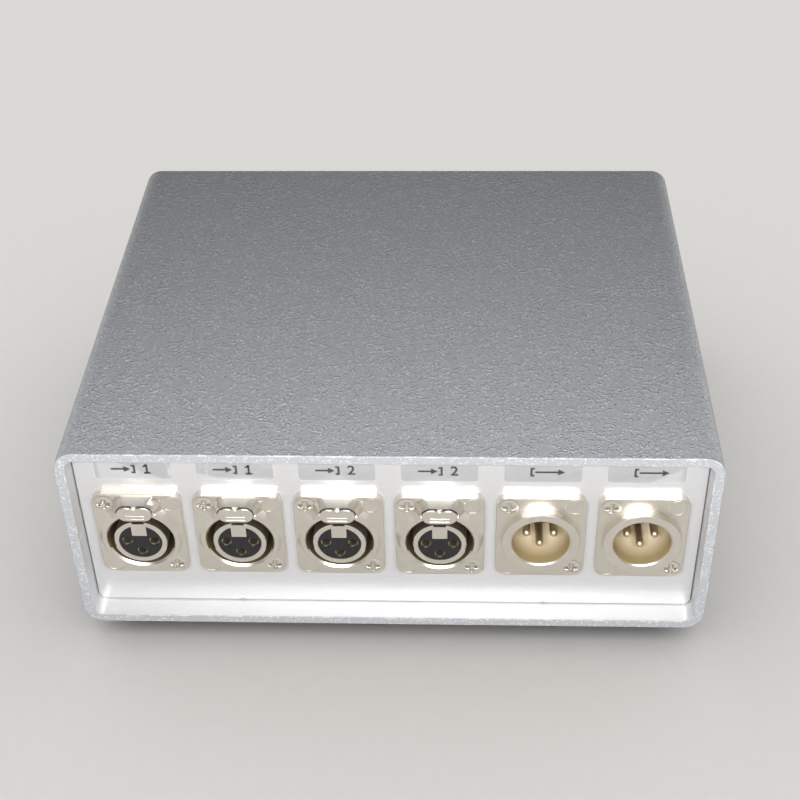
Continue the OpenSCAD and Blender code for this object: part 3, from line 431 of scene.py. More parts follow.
def socket_lining(tree, shader, place, look, mouth, deep):
    """Thin nickel flash inside a zinc casting: dull and streaky, with a tone that changes with depth. A tone
    that brightens deeper in is painted light, and a dark tone all over is painted shade.
    """
    near, far = LINING_DEPTHS
    outwards = add(tree, "ShaderNodeSeparateXYZ", {0: place}).outputs["Y"]
    depth = add(
        tree, "ShaderNodeMapRange",
        {"Value": outwards, "From Min": COLLAR_FRONT - near, "From Max": COLLAR_FRONT - far},
    ).outputs[0]
    # The tone goes from the mouth tone to the deep tone; a brighter deep tone is painted light
    base = add(
        tree, "ShaderNodeMix",
        {FACTOR: depth, FIRST: opaque(mouth), SECOND: opaque(deep)},
        data_type="RGBA",
    ).outputs[MIXED]
    streaks = add(
        tree, "ShaderNodeTexNoise", {"Vector": place, "Scale": 1 / look.wave, "Detail": 3.0}
    ).outputs[0]
    gloss = add(
        tree, "ShaderNodeMapRange", {"Value": streaks, "To Min": look.dull - 0.1, "To Max": look.dull + 0.1}
    ).outputs[0]
    tree.links.new(base, shader.inputs["Base Color"])
    tree.links.new(gloss, shader.inputs["Roughness"])
    shader.inputs["Metallic"].default_value = 0.15


def silver_plate(tree, shader, place):
    """Silver plate on turned brass contacts and pins: bright and pale, a little tarnished."""
    tarnish = add(
        tree, "ShaderNodeTexNoise", {"Vector": place, "Scale": 1 / (1.2 * MM), "Detail": 3.0}
    ).outputs[0]
    base = add(
        tree, "ShaderNodeMix",
        {FACTOR: tarnish, FIRST: opaque(linear("#ece6d8")), SECOND: opaque(linear("#cdbf9d"))},
        data_type="RGBA",
    ).outputs[MIXED]
    tree.links.new(base, shader.inputs["Base Color"])
    shader.inputs["Metallic"].default_value = 1.0
    shader.inputs["Roughness"].default_value = 0.36


def black_nylon(tree, shader, place):
    """Glass-filled nylon, moulded: deep black with a satin grain, drawn coarse enough to show."""
    grain = add(
        tree, "ShaderNodeTexNoise", {"Vector": place, "Scale": 1 / (0.35 * MM), "Detail": 3.0}
    ).outputs[0]
    base = add(
        tree, "ShaderNodeMix",
        {FACTOR: grain, FIRST: opaque(linear("#0f0e0f")), SECOND: opaque(linear("#1d1b1c"))},
        data_type="RGBA",
    ).outputs[MIXED]
    bump = add(tree, "ShaderNodeBump", {"Height": grain, "Strength": 0.6, "Distance": 0.02 * MM})
    tree.links.new(base, shader.inputs["Base Color"])
    tree.links.new(bump.outputs[0], shader.inputs["Normal"])
    shader.inputs["Roughness"].default_value = 0.38


def clear_film(tree, shader, place):
    """Clear polyester label film: the panel shows through, under a smooth gloss with faint ripples."""
    ripples = add(
        tree, "ShaderNodeTexNoise", {"Vector": place, "Scale": 1 / (7 * MM), "Detail": 1.0}
    ).outputs[0]
    bump = add(tree, "ShaderNodeBump", {"Height": ripples, "Strength": 0.3, "Distance": 0.02 * MM})
    tree.links.new(bump.outputs[0], shader.inputs["Normal"])
    shader.inputs["Base Color"].default_value = opaque(linear("#f4efec"))
    shader.inputs["Roughness"].default_value = 0.05
    shader.inputs["IOR"].default_value = 1.57
    shader.inputs["Alpha"].default_value = 0.03


def printed_ink(tree, shader, place, look):
    """Thermal print on film: flat dark ink, a little uneven in its cover."""
    cover = add(
        tree, "ShaderNodeTexNoise", {"Vector": place, "Scale": 1 / (0.5 * MM), "Detail": 3.0}
    ).outputs[0]
    thin = tuple(min(1.0, 1.8 * c) for c in look.ink)
    base = add(
        tree, "ShaderNodeMix",
        {FACTOR: cover, FIRST: opaque(look.ink), SECOND: opaque(thin)},
        data_type="RGBA",
    ).outputs[MIXED]
    tree.links.new(base, shader.inputs["Base Color"])
    shader.inputs["Roughness"].default_value = 0.55


# Rings of a wave texture to one unit of its scale
WAVE_RINGS = 3.18


def turned_aluminium(tree, shader, place, look, axis):
    """Aluminium, turned and clear anodised: rings about the axis, with a satin sheen."""
    centred = add(tree, "ShaderNodeMapping", {"Vector": place, "Location": -axis}).outputs[0]
    pitch = 1 / (WAVE_RINGS * look.rings)
    rings = add(
        tree, "ShaderNodeTexWave", {"Vector": centred, "Scale": pitch, "Distortion": 0.4, "Detail": 2.0},
        wave_type="RINGS", rings_direction="Y",
    ).outputs[1]
    tone = add(
        tree, "ShaderNodeTexNoise", {"Vector": centred, "Scale": 1 / (6 * MM), "Detail": 2.0}
    ).outputs[0]
    dull = tuple(0.82 * c for c in look.metal)
    base = add(
        tree, "ShaderNodeMix",
        {FACTOR: tone, FIRST: opaque(look.metal), SECOND: opaque(dull)},
        data_type="RGBA",
    ).outputs[MIXED]
    bump = add(tree, "ShaderNodeBump", {"Height": rings, "Strength": 0.5, "Distance": 0.012 * MM})
    gloss = add(
        tree, "ShaderNodeMapRange", {"Value": rings, "To Min": 0.27, "To Max": 0.36}
    ).outputs[0]
    tree.links.new(base, shader.inputs["Base Color"])
    tree.links.new(gloss, shader.inputs["Roughness"])
    tree.links.new(bump.outputs[0], shader.inputs["Normal"])
    shader.inputs["Metallic"].default_value = 1.0


def paper(tree, shader, place, look):
    """Matt backdrop paper: plain, with a faint mottle that keeps it from looking blank."""
    mottle = add(
        tree, "ShaderNodeTexNoise", {"Vector": place, "Scale": 1 / (4 * MM), "Detail": 3.0}
    ).outputs[0]
    dull = tuple(0.96 * c for c in look.floor)
    base = add(
        tree, "ShaderNodeMix",
        {FACTOR: mottle, FIRST: opaque(look.floor), SECOND: opaque(dull)},
        data_type="RGBA",
    ).outputs[MIXED]
    tree.links.new(base, shader.inputs["Base Color"])
    shader.inputs["Roughness"].default_value = 0.8


def two_tone(tree, shader, place, light, dark, size, metallic, gloss):
    """A plain finish that varies a little: two close tones in a noise of that size."""
    patches = add(
        tree, "ShaderNodeTexNoise", {"Vector": place, "Scale": 1 / (size * MM), "Detail": 3.0}
    ).outputs[0]
    base = add(
        tree, "ShaderNodeMix",
        {FACTOR: patches, FIRST: opaque(linear(light)), SECOND: opaque(linear(dark))},
        data_type="RGBA",
    ).outputs[MIXED]
    bump = add(tree, "ShaderNodeBump", {"Height": patches, "Strength": 0.3, "Distance": 0.02 * MM})
    tree.links.new(base, shader.inputs["Base Color"])
    tree.links.new(bump.outputs[0], shader.inputs["Normal"])
    shader.inputs["Metallic"].default_value = metallic
    shader.inputs["Roughness"].default_value = gloss


# Finishes of the pieces inside and under the case: tones, pattern size in millimetres, metallic and roughness
PLAIN_FINISHES = {
    # Enamel run into a groove: black and half gloss
    "black_enamel": ("#141415", "#1e1e1f", 0.9, 0.0, 0.3),
    # Moulded rubber: dark and matt, with a dusty bloom
    "black_rubber": ("#1d1d1e", "#2a2a2a", 0.8, 0.0, 0.75),
    # Zinc-plated steel: bluish grey with soft spangles
    "zinc_steel": ("#b4b7bb", "#94979b", 1.2, 1.0, 0.32),
    # Machined brass: yellow and satin
    "machined_brass": ("#cfae62", "#b3924a", 1.5, 1.0, 0.28),
    # Mill aluminium: pale grey, rolled and satin
    "mill_aluminium": ("#c8cacd", "#b2b4b7", 2.0, 1.0, 0.35),
    # Glass fibre board under green solder resist: the weave shows through as patches
    "green_board": ("#1f5a3a", "#184a30", 0.7, 0.0, 0.35),
    # Natural acetal: milky white with a waxy sheen
    "white_acetal": ("#d9d6cc", "#cbc8bd", 2.0, 0.0, 0.4),
    # Ceramic-filled phenolic of the switch body: dark brown, satin
    "brown_phenolic": ("#33241c", "#281c16", 0.6, 0.0, 0.45),
}
INNER_PIECES = {
    "zinc_steel": ("case_screws", "panel_screws", "flange_nuts", "hook_pins", "switch_frame", "detent_spring",
                   "extension_shaft", "grub_screws", "bushing_nut"),
    "machined_brass": ("shaft_coupler", "panel_bushing", "switch_contacts", "switch_wipers"),
    "mill_aluminium": ("seam_strips", "case_pillars"),
    "green_board": ("circuit_board",),
    "white_acetal": ("switch_rotor",),
    "brown_phenolic": ("switch_body",),
}


def plain_finish(name):
    """One of the plain finishes."""
    return finish(name, two_tone, *PLAIN_FINISHES[name])


def paint(node, material):
    """Gives a CAD node that keeps its own mesh a finish."""
    slots = frame["nodes"][node].data.materials
    slots.clear()
    slots.append(material)


def stand(name, shape, body, material):
    """Makes a finished bmesh into a piece that rides on a body."""
    mesh = bpy.data.meshes.new(name)
    shape.to_mesh(mesh)
    shape.free()
    mesh.materials.append(material)
    piece = bpy.data.objects.new(name, mesh)
    bpy.context.scene.collection.objects.link(piece)
    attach(piece, body)
    return piece


def soft_copy(node, material, *cuts, wear=0, inner=None):
    """Stands a smooth copy of a CAD node in its place. Each cut is a rounding, its steps and the test that
    picks the corners of its edges. Wear is how much the finish is rubbed off the roundings. Inner is an
    axis along Y, a reach and the finish of the faces that look at the axis."""
    source = frame["nodes"][node]
    shape = bmesh.new()
    shape.from_mesh(source.data)
    bmesh.ops.remove_doubles(shape, verts=shape.verts, dist=WELD)
    bmesh.ops.dissolve_limit(shape, angle_limit=FLAT, verts=shape.verts, edges=shape.edges)
    rubbed = shape.faces.layers.float.new("wear")
    for width, steps, picks in cuts:
        edges = [
            e for e in shape.edges
            if e.is_manifold and e.is_convex and e.calc_face_angle() > SHARP
            and all(picks(v.co) for v in e.verts)
        ]
        if not edges:
            raise RuntimeError(f"{node} has no edge where a rounding should be")
        made = bmesh.ops.bevel(
            shape, geom=edges, offset=width, offset_type="OFFSET", segments=steps, profile=0.5,
            affect="EDGES", clamp_overlap=False, material=-1,
        )
        for face in made["faces"]:
            face[rubbed] = wear
    axis, reach, lining = inner or (Vector(), 0, None)
    shape.normal_update()
    for face in shape.faces:
        out = face.calc_center_median() - axis
        out.y = 0
        if out.length < reach and abs(face.normal.y) < TURNED and face.normal.dot(out) < -WELD:
            face.material_index = 1
    piece = stand(f"{node}_dressed", shape, source["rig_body"], material)
    if lining:
        piece.data.materials.append(lining)
    piece.data.shade_smooth()
    piece.data.set_sharp_from_angle(angle=SHARP)
    # Keeps the flats flat beside their rounded edges
    piece.modifiers.new("flats", "WEIGHTED_NORMAL").keep_sharp = True
    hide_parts(node)
    return piece


def on_plane(axis, place):
    """A test for corners on the plane where that coordinate is place."""
    return lambda corner: abs(corner[axis] - place) < NEAR


def on_circle(centre, radius, y):
    """A test for corners on a circle about the Y direction, at that depth."""
    return lambda c: abs(c.y - y) < NEAR and abs(math.hypot(c.x - centre.x, c.z - centre.z) - radius) < NEAR


def on_outline(box, radius, y):
    """A test for corners on the outline of a box with rounded corners, seen along Y, at that depth."""
    centre = (box[0] + box[1]) / 2
    half = (box[1] - box[0]) / 2

    def test(c):
        x = max(abs(c.x - centre.x) - half.x + radius, 0)
        z = max(abs(c.z - centre.z) - half.z + radius, 0)
        return abs(c.y - y) < NEAR and abs(math.hypot(x, z) - radius) < NEAR

    return test


def below(place):
    """A test for corners lower than place."""
    return lambda corner: corner.z < place


def either(*tests):
    """A test that passes where one of the tests does."""
    return lambda corner: any(test(corner) for test in tests)


def both(one, other):
    """A test that passes where both tests do."""
    return lambda corner: one(corner) and other(corner)


def joint(name):
    """The frame's joint of that name."""
    return next(found for found in frame["joints"] if found["name"] == name)


def middle(node):
    """Middle of a CAD node's box."""
    low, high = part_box(node)
    return (low + high) / 2


# Sizes that the looks are placed by, read off the frame
REAR_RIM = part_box("upper_shell")[1].y
FRONT_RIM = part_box("upper_shell")[0].y
REAR_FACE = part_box("rear_panel")[1].y
FRONT_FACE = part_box("front_panel")[0].y
KNOB_AXIS = middle("selector_knob")
KNOB_CHAMFER = 1.6 * MM
# Paint in the knob's pointer groove: width, ends measured from the knob's rim, and levels below its face
POINTER_W = 1.5 * MM
POINTER_ENDS = (8.9 * MM, 1.2 * MM)
POINTER_LEVELS = (0.6 * MM, 0.2 * MM)
# Sizes of the sockets: fronts of the flange, bezel and collar, and radii of the bezel, collar and mouths
FLANGE_FRONT = REAR_FACE + 2.5 * MM
FLANGE_CORNER = 3.2 * MM
BEZEL_FRONT = FLANGE_FRONT + 1.6 * MM
COLLAR_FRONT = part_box("output_a_shell")[1].y
TAB_FRONT = FLANGE_FRONT + 4.0 * MM
RING_R = 11.4 * MM
BORE_R = 9.7 * MM
CAVITY_R = 8.3 * MM
MOUTH_CHAMFER = 0.6 * MM
CORE_R = 6.35 * MM
# Centres of the screws, ring and dish from a socket's middle, and their radii
CORNER_X = 9.5 * MM
CORNER_Z = 12 * MM
SEAT_R = 2.85 * MM
RING_MARK_R = 2.9 * MM
RING_MARK_W = 0.6 * MM
RING_MARK_H = 0.25 * MM
# Contacts: distance from a socket's axis, and radii of bore and wall
CONTACT_RING = 4 * MM
CONTACT_RADII = (1.25 * MM, 1.55 * MM)


class SELECTOR_OT_case(bpy.types.Operator):
    """Coats the two shells and both panels, and rounds and wears their edges"""

    bl_idname = "selector.case"
    bl_label = "Case"

    def execute(self, context):
        look = context.scene.selector_looks.coat
        coat = finish("silver_powder_coat", powder_coat, look)
        satin = finish("blasted_aluminium", blasted_aluminium, look)
        rims = either(on_plane(1, REAR_RIM), on_plane(1, FRONT_RIM))
        case = (cad_box[0] + cad_box[1]) / 2
        case.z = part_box("lower_shell")[1].z
        # Farther from the middle than any face
        far = cad_box[1].x * 2
        for node in ("upper_shell", "lower_shell"):
            soft_copy(node, coat, (look.rim, 3, rims), wear=RIM_WEAR, inner=(case, far, satin))
        for node, face in (("rear_panel", REAR_FACE), ("front_panel", FRONT_FACE)):
            low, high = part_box(node)
            ends = either(on_plane(0, low.x), on_plane(0, high.x), on_plane(2, high.z))
            soft_copy(node, satin, (look.panel, 2, both(on_plane(1, face), ends)))
        return {"FINISHED"}


def mouth_edges(axis, radius, front):
    """A test for the two edges of a mouth's chamfer."""
    return either(
        on_circle(axis, radius, front - MOUTH_CHAMFER), on_circle(axis, radius + MOUTH_CHAMFER, front)
    )


def seat_edge(centre, side):
    """A test for the edge of a flange around its upper or its lower screw."""
    return on_circle(centre + side * Vector((CORNER_X, 0, CORNER_Z)), SEAT_R, FLANGE_FRONT)


def mark_edges(centre):
    """A test for the edges of the raised ring and of the dish on a flange."""
    corner = Vector((CORNER_X, 0, -CORNER_Z))
    top = FLANGE_FRONT + RING_MARK_H
    return either(
        on_circle(centre - corner, RING_MARK_R, top),
        on_circle(centre - corner, RING_MARK_R - RING_MARK_W, top),
        on_circle(centre + corner, RING_MARK_R, FLANGE_FRONT),
    )


def lip_edges(node, axis):
    """A test for both edges of the contacts' front lips."""
    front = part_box(node)[1].y
    places = [axis + CONTACT_RING * Vector(way) for way in ((1, 0, 0), (-1, 0, 0), (0, 0, -1))]
    return either(*(on_circle(place, radius, front) for place in places for radius in CONTACT_RADII))


class SELECTOR_OT_sockets(bpy.types.Operator):
    """Plates the sockets, and finishes their inserts, contacts and pins"""

    bl_idname = "selector.sockets"
    bl_label = "Sockets"

    def execute(self, context):
        look = context.scene.selector_looks.plating
        nickel = finish("nickel_plate", nickel_plate, look)
        # The lining is painted brighter deeper in a socket, as painted light
        lining = finish("socket_lining", socket_lining, look, look.mouth_tone, look.deep_painted_light)
        # The grooves' lining is painted dark all over, as painted shade
        groove = finish("groove_shade_lining", socket_lining, look, look.groove_shade_tone, look.groove_shade_tone)
        nylon = finish("black_nylon", black_nylon)
        silver = finish("silver_plate", silver_plate)
        for name in INPUTS:
            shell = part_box(f"{name}_shell")
            low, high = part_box(f"{name}_sleeve")
            axis = middle(f"{name}_insert")
            # The sleeve's key slot lowers its box by 0.2 mm, so this lies 0.1 mm under the bore's axis
            axis.z = (low.z + high.z) / 2
            sleeve_r = (high.x - low.x) / 2
            # The bore walls around the sleeve take the groove lining's painted shade
            soft_copy(
                f"{name}_shell", nickel,
                (look.flange, 3, on_outline(shell, FLANGE_CORNER, FLANGE_FRONT)),
                (look.ring, 3, on_circle(axis, RING_R, BEZEL_FRONT)),
                (look.bezel, 4, on_circle(axis, BORE_R, BEZEL_FRONT - MOUTH_CHAMFER)),
                (look.mouth, 2, on_circle(axis, BORE_R + MOUTH_CHAMFER, BEZEL_FRONT)),
                (look.seat, 3, seat_edge(middle(f"{name}_shell"), 1)),
                (look.seat, 3, both(seat_edge(middle(f"{name}_shell"), -1), below(axis.z - CORNER_Z))),
                (look.mark, 2, mark_edges(middle(f"{name}_shell"))),
                inner=(axis, RING_R, groove),
            )
            soft_copy(
                f"{name}_sleeve", nickel,
                (look.sleeve, 4, on_circle(axis, sleeve_r, high.y)),
                (look.mouth, 2, on_circle(axis, CORE_R, high.y)),
            )
            soft_copy(f"{name}_insert", nylon)
            soft_copy(f"{name}_contacts", silver, (look.lip, 3, lip_edges(f"{name}_contacts", axis)))
        for name in OUTPUTS:
            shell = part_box(f"{name}_shell")
            axis = middle(f"{name}_shell")
            # The cavity walls take the lining with its painted light deeper in
            soft_copy(
                f"{name}_shell", nickel,
                (look.flange, 3, on_outline(shell, FLANGE_CORNER, FLANGE_FRONT)),
                (look.ring, 3, on_circle(axis, RING_R, COLLAR_FRONT)),
                (look.mouth, 3, mouth_edges(axis, CAVITY_R, COLLAR_FRONT)),
                (look.seat, 3, either(seat_edge(axis, 1), seat_edge(axis, -1))),
                (look.mark, 2, mark_edges(axis)),
                inner=(axis, RING_R, lining),
            )
            soft_copy(f"{name}_insert", nylon)
            soft_copy(f"{name}_pins", silver)
        return {"FINISHED"}


class SELECTOR_OT_latches(bpy.types.Operator):
    """Plates the push tabs, and finishes the hooks and springs behind them"""

    bl_idname = "selector.latches"
    bl_label = "Push latches"

    def execute(self, context):
        look = context.scene.selector_looks.plating
        nickel = finish("nickel_plate", nickel_plate, look)
        for name in INPUTS:
            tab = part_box(f"{name}_button")
            rim = on_outline(tab, (tab[1].z - tab[0].z) / 2, TAB_FRONT)
            grips = on_plane(1, tab[1].y)
            soft_copy(f"{name}_button", nickel, (look.tab, 3, rim), (look.grip, 2, grips))
            paint(f"{name}_hook", plain_finish("zinc_steel"))
            # A real spring shortens towards its seat by as much as the tab goes in; here it only gets a mesh
            # of its own
            spring = soft_copy(f"{name}_spring", plain_finish("zinc_steel"))
            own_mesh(spring)
        return {"FINISHED"}


class SELECTOR_OT_flange_screws(bpy.types.Operator):
    """Plates the cross-head screws of the flanges"""

    bl_idname = "selector.flange_screws"
    bl_label = "Flange screws"

    def execute(self, context):
        soft_copy("flange_screws", finish("nickel_plate", nickel_plate, context.scene.selector_looks.plating))
        return {"FINISHED"}


# An arrow's head, in strokes
ARROW_HEAD = 3.2
# Places on a label film and the length of the outputs' arrows, in arrows
INPUT_TAIL = -1.1
INPUT_BRACKET = 0.1
INPUT_NUMERAL = 0.75
OUTPUT_BRACKET = -0.6
OUTPUT_TAIL = -0.4
OUTPUT_ARROW = 1.5
# The figure 1, in heights: middle, length and slope of its flag, and width of its foot
FLAG_PLACE = Vector((-0.13, 0.36, 0))
FLAG_LENGTH = 0.38
FLAG_SLOPE = math.radians(40)
FOOT_WIDTH = 0.55
# Height of a figure in Blender's own typeface, to its size
FIGURE_HEIGHT = 0.73
# The dial: how far its bars and numerals stand off the knob's rim, and the length of a bar
DIAL_BAR_GAP = 3 * MM
DIAL_NUMERAL_GAP = 8 * MM
DIAL_BAR = 3 * MM


def bar(shape, centre, along, across, thick, turn=0.0):
    """Adds a flat bar to a mark."""
    size = Matrix.Diagonal((along, across, thick, 1))
    place = Matrix.Translation(centre) @ Matrix.Rotation(turn, 4, "Z") @ size
    bmesh.ops.create_cube(shape, size=1, matrix=place)


def arrow(shape, start, reach, look):
    """Adds an arrow that points to the right, from its tail at start."""
    head = ARROW_HEAD * look.stroke
    bar(shape, start + Vector(((reach - head) / 2, 0, 0)), reach - head, look.stroke, look.thick)
    # The corners of a regular triangle lie two thirds of its height from its middle
    radius = head / 1.5
    tip = Matrix.Translation(start + Vector((reach - radius, 0, 0)))
    bmesh.ops.create_cone(
        shape, cap_ends=True, segments=3, radius1=radius, radius2=radius, depth=look.thick,
        matrix=tip @ Matrix.Rotation(math.radians(-90), 4, "Z"),
    )


def bracket(shape, place, side, look):
    """Adds a square bracket, open to that side, for an arrow to enter or leave."""
    bar(shape, place, look.stroke, look.bracket, look.thick)
    for end in (-1, 1):
        lip = Vector((side * look.stroke, end * (look.bracket - look.stroke) / 2, 0))
        bar(shape, place + lip, look.stroke, look.stroke, look.thick)


def numeral(shape, text, height, centre, look):
    """Adds a numeral of that height to a mark, in Blender's own typeface or, for a 1, from bars."""
    if text == "1":
        # The typeface's 1 is a bare stroke, which is easily taken for part of a bracket
        bar(shape, centre, look.stroke, height, look.thick)
        flag = centre + FLAG_PLACE * height
        bar(shape, flag, FLAG_LENGTH * height, look.stroke, look.thick, FLAG_SLOPE)
        foot = Vector((0, (look.stroke - height) / 2, 0))
        bar(shape, centre + foot, FOOT_WIDTH * height, look.stroke, look.thick)
        return
    curve = bpy.data.curves.new("numeral", "FONT")
    curve.body = text
    curve.size = height / FIGURE_HEIGHT
    curve.align_x = "CENTER"
    curve.align_y = "CENTER"
    curve.extrude = look.thick / 2
    curve.offset = look.bold
    holder = bpy.data.objects.new("numeral", curve)
    mesh = bpy.data.meshes.new_from_object(holder)
    mesh.transform(Matrix.Translation(centre))
    shape.from_mesh(mesh)
    bpy.data.meshes.remove(mesh)
    bpy.data.objects.remove(holder)
    bpy.data.curves.remove(curve)


class SELECTOR_OT_labels(bpy.types.Operator):
    """Makes the label films clear, and prints an arrow on each and a number on the inputs' films"""

    bl_idname = "selector.labels"
    bl_label = "Labels"

    def execute(self, context):
        look = context.scene.selector_looks.marks
        ink = finish("printed_ink", printed_ink, look)
        paint("label_films", finish("clear_film", clear_film))
        low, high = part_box("label_films")
        right = Vector((look.arrow, 0, 0))
        for name in INPUTS + OUTPUTS:
            shape = bmesh.new()
            if name in INPUTS:
                number = name[len("input_")]
                arrow(shape, right * INPUT_TAIL, look.arrow, look)
                bracket(shape, right * INPUT_BRACKET, -1, look)
                numeral(shape, number, look.numeral, right * INPUT_NUMERAL, look)
            else:
                bracket(shape, right * OUTPUT_BRACKET, 1, look)
                arrow(shape, right * OUTPUT_TAIL, OUTPUT_ARROW * look.arrow, look)
            centre = Vector((
                middle(f"{name}_shell").x, high.y + look.thick / 2, (low.z + high.z) / 2 - look.low
            ))
            bmesh.ops.transform(shape, matrix=Matrix.Translation(centre) @ SOCKET_SIDE, verts=shape.verts)
            stand(f"{name}_mark", shape, "case", ink)
        return {"FINISHED"}


def dial_way(tilt):
    """The way from the dial's middle that is tilted to the left from straight up."""
    return Vector((-math.sin(tilt), math.cos(tilt), 0))


class SELECTOR_OT_knob(bpy.types.Operator):
    """Finishes the knob and its pointer, and prints the two positions on the front panel"""

    bl_idname = "selector.knob"
    bl_label = "Knob"

    def execute(self, context):
        looks = context.scene.selector_looks
        look = looks.marks
        metal = finish("turned_aluminium", turned_aluminium, looks.knob, KNOB_AXIS)
        ink = finish("printed_ink", printed_ink, look)
        low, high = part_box("selector_knob")
        radius = (high.x - low.x) / 2
        corners = either(
            on_circle(KNOB_AXIS, radius - KNOB_CHAMFER, low.y),
            on_circle(KNOB_AXIS, radius, low.y + KNOB_CHAMFER),
            on_circle(KNOB_AXIS, radius, high.y),
        )
        soft_copy("selector_knob", metal, (looks.knob.edge, 3, corners))

        step = math.radians(joint("selector_turn")["range_deg"][1])
        rim = high.x
        shape = bmesh.new()
        for text, tilt in (("1", step / 2), ("2", -step / 2)):
            out = dial_way(tilt)
            bar(shape, out * (rim + DIAL_BAR_GAP), look.stroke, DIAL_BAR, look.thick, tilt)
            numeral(shape, text, look.dial_numeral, out * (rim + DIAL_NUMERAL_GAP), look)
        centre = Vector((KNOB_AXIS.x, FRONT_FACE - look.thick / 2, KNOB_AXIS.z))
        bmesh.ops.transform(shape, matrix=Matrix.Translation(centre) @ KNOB_SIDE, verts=shape.verts)
        stand("dial_marks", shape, "case", ink)

        inner, outer = (radius - end for end in POINTER_ENDS)
        floor, top = POINTER_LEVELS
        shape = bmesh.new()
        place = dial_way(step / 2) * (inner + outer) / 2
        bar(shape, place, POINTER_W, outer - inner, floor - top, step / 2)
        centre = Vector((KNOB_AXIS.x, low.y + (floor + top) / 2, KNOB_AXIS.z))
        bmesh.ops.transform(shape, matrix=Matrix.Translation(centre) @ KNOB_SIDE, verts=shape.verts)
        body = frame["nodes"]["selector_knob"]["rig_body"]
        stand("pointer_paint", shape, body, plain_finish("black_enamel"))
        return {"FINISHED"}


class SELECTOR_OT_inner_works(bpy.types.Operator):
    """Finishes the feet and the pieces inside the case"""

    bl_idname = "selector.inner_works"
    bl_label = "Feet and inner works"

    def execute(self, context):
        soft_copy("rubber_feet", plain_finish("black_rubber"))
        for name, nodes in INNER_PIECES.items():
            for node in nodes:
                paint(node, plain_finish(name))
        return {"FINISHED"}


def receivers(name, floor, state):
    """A group of what a lamp lights: the floor alone, or everything else."""
    group = bpy.data.collections.new(name)
    group.objects.link(floor)
    group.collection_objects[0].light_linking.link_state = state
    return group


# Lamps: places and sizes in metres, the key's place from the camera, the cards' and fills' on the right
KEY_PLACE = Vector((0, 0, -0.025))
KEY_SIZE = (0.3, 0.07)
CARD_PLACE = Vector((0.7, 0.35, 0.3))
CARD_SIZE = (0.6, 0.5)
FILL_PLACE = Vector((1, -0.7, 0.065))
FILL_SIZE = (0.6, 0.11)
WASH_PLACE = Vector((0, 0, 4))
WASH_SIZE = (14, 14)
FLOOR_R = 6
# The camera's sensor in millimetres, and how near it sees in metres
SENSOR = 36
NEAR_SIGHT = 0.01


def softbox(name, place, target, size, watts, lit):
    """Adds a softbox that faces a point and lights one group."""
    lamp = bpy.data.lights.new(name, "AREA")
    lamp.shape = "RECTANGLE"
    lamp.size, lamp.size_y = size
    lamp.energy = watts
    holder = bpy.data.objects.new(name, lamp)
    holder.location = place
    holder.rotation_euler = (target - place).to_track_quat("-Z", "Y").to_euler()
    holder.light_linking.receiver_collection = lit
    bpy.context.scene.collection.objects.link(holder)


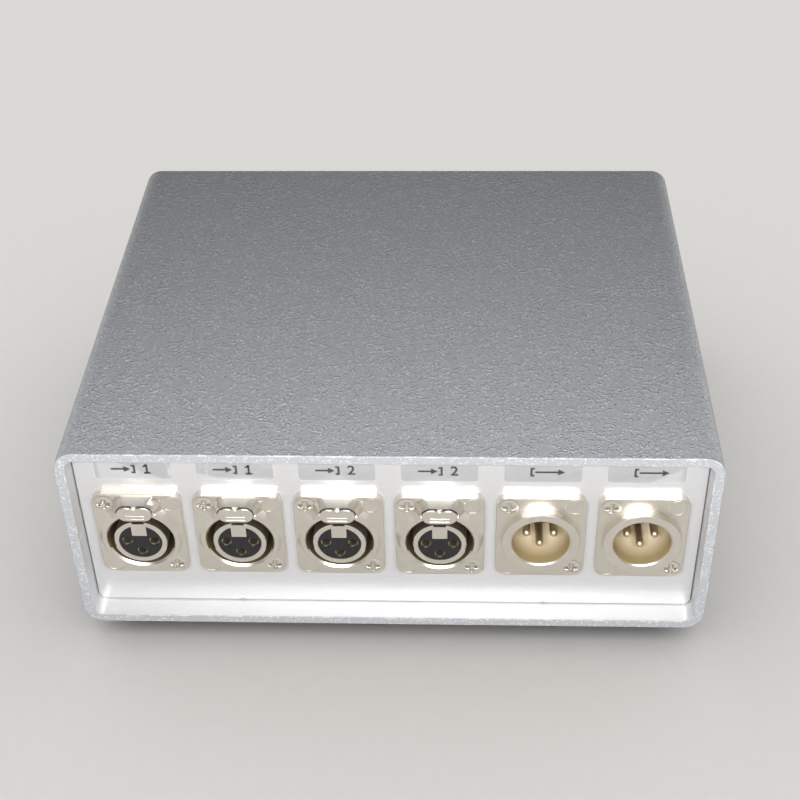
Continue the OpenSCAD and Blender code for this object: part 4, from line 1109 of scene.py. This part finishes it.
class SELECTOR_OT_stage(bpy.types.Operator):
    """Lays the floor, and sets up the lights and the camera"""

    bl_idname = "selector.stage"
    bl_label = "Stage"

    def execute(self, context):
        scene = context.scene
        look = scene.selector_looks.stage
        shape = bmesh.new()
        bmesh.ops.create_circle(shape, cap_ends=True, segments=64, radius=FLOOR_R)
        mesh = bpy.data.meshes.new("floor")
        shape.to_mesh(mesh)
        shape.free()
        mesh.materials.append(finish("floor_paper", paper, look))
        floor = bpy.data.objects.new("floor", mesh)
        scene.collection.objects.link(floor)

        forward = Vector((
            -math.sin(look.yaw) * math.cos(look.pitch), -math.cos(look.yaw) * math.cos(look.pitch),
            -math.sin(look.pitch),
        ))
        camera = bpy.data.objects.new("camera", bpy.data.cameras.new("camera"))
        camera.data.sensor_width = SENSOR
        camera.data.lens = look.lens
        camera.data.clip_start = NEAR_SIGHT
        camera.location = look.place
        camera.rotation_mode = "QUATERNION"
        camera.rotation_quaternion = forward.to_track_quat("-Z", "Y") @ Quaternion((0, 0, 1), -look.roll)
        scene.collection.objects.link(camera)
        scene.camera = camera

        aim = middle("upper_shell")
        rest = receivers("all_but_floor", floor, "EXCLUDE")
        softbox("key", Vector(look.place) + KEY_PLACE, aim, KEY_SIZE, look.key, rest)
        for side in (-1, 1):
            mirror = Vector((side, 1, 1))
            softbox("card", mirror * CARD_PLACE, middle("rear_panel"), CARD_SIZE, look.side, rest)
            softbox("fill", mirror * FILL_PLACE, middle("front_panel"), FILL_SIZE, look.fill, rest)
        # The floor has a lamp of its own, so that it stays evenly pale beside a lamp as near as the key
        floor_only = receivers("floor_only", floor, "INCLUDE")
        softbox("wash", WASH_PLACE, aim, WASH_SIZE, look.wash, floor_only)
        scene.world = scene.world or bpy.data.worlds.new("room")
        scene.world.use_nodes = True
        room = scene.world.node_tree
        way = add(room, "ShaderNodeTexCoord").outputs["Generated"]
        up = add(room, "ShaderNodeSeparateXYZ", {0: way}).outputs["Z"]
        glow = add(
            room, "ShaderNodeMapRange",
            {"Value": up, "From Max": math.sin(WALL_TOP), "To Min": look.walls, "To Max": look.ceiling},
            interpolation_type="SMOOTHSTEP",
        ).outputs[0]
        backdrop = room.nodes["Background"]
        backdrop.inputs["Color"].default_value = opaque(look.room)
        room.links.new(glow, backdrop.inputs["Strength"])
        scene.view_settings.view_transform = "Standard"
        return {"FINISHED"}


STEPS = (
    SELECTOR_OT_case, SELECTOR_OT_sockets, SELECTOR_OT_latches, SELECTOR_OT_flange_screws, SELECTOR_OT_labels,
    SELECTOR_OT_knob, SELECTOR_OT_inner_works, SELECTOR_OT_stage,
)
GROUPS = (CoatLook, PlatingLook, MarkLook, KnobLook, StageLook, SelectorLooks)


class SELECTOR_PT_steps(bpy.types.Panel):
    """Lists the steps that dress the selector"""

    bl_idname = "SELECTOR_PT_steps"
    bl_label = "Audio source selector"
    bl_space_type = "VIEW_3D"
    bl_region_type = "UI"
    bl_category = "Selector"

    def draw(self, context):
        for step in STEPS:
            self.layout.operator(step.bl_idname)
        looks = context.scene.selector_looks
        for group in ("coat", "plating", "marks", "knob", "stage"):
            box = self.layout.box()
            box.label(text=group.capitalize())
            for name in getattr(looks, group).__annotations__:
                box.prop(getattr(looks, group), name)


def register():
    """Registers the classes and the looks."""
    for part in (*GROUPS, *STEPS, SELECTOR_PT_steps):
        bpy.utils.register_class(part)
    bpy.types.Scene.selector_looks = PointerProperty(type=SelectorLooks)


def unregister():
    """Removes the looks and the classes."""
    del bpy.types.Scene.selector_looks
    for part in reversed((*GROUPS, *STEPS, SELECTOR_PT_steps)):
        bpy.utils.unregister_class(part)


def main():
    register()
    for step in STEPS:
        group, name = step.bl_idname.split(".")
        getattr(getattr(bpy.ops, group), name)()


if __name__ == "__main__":
    main()
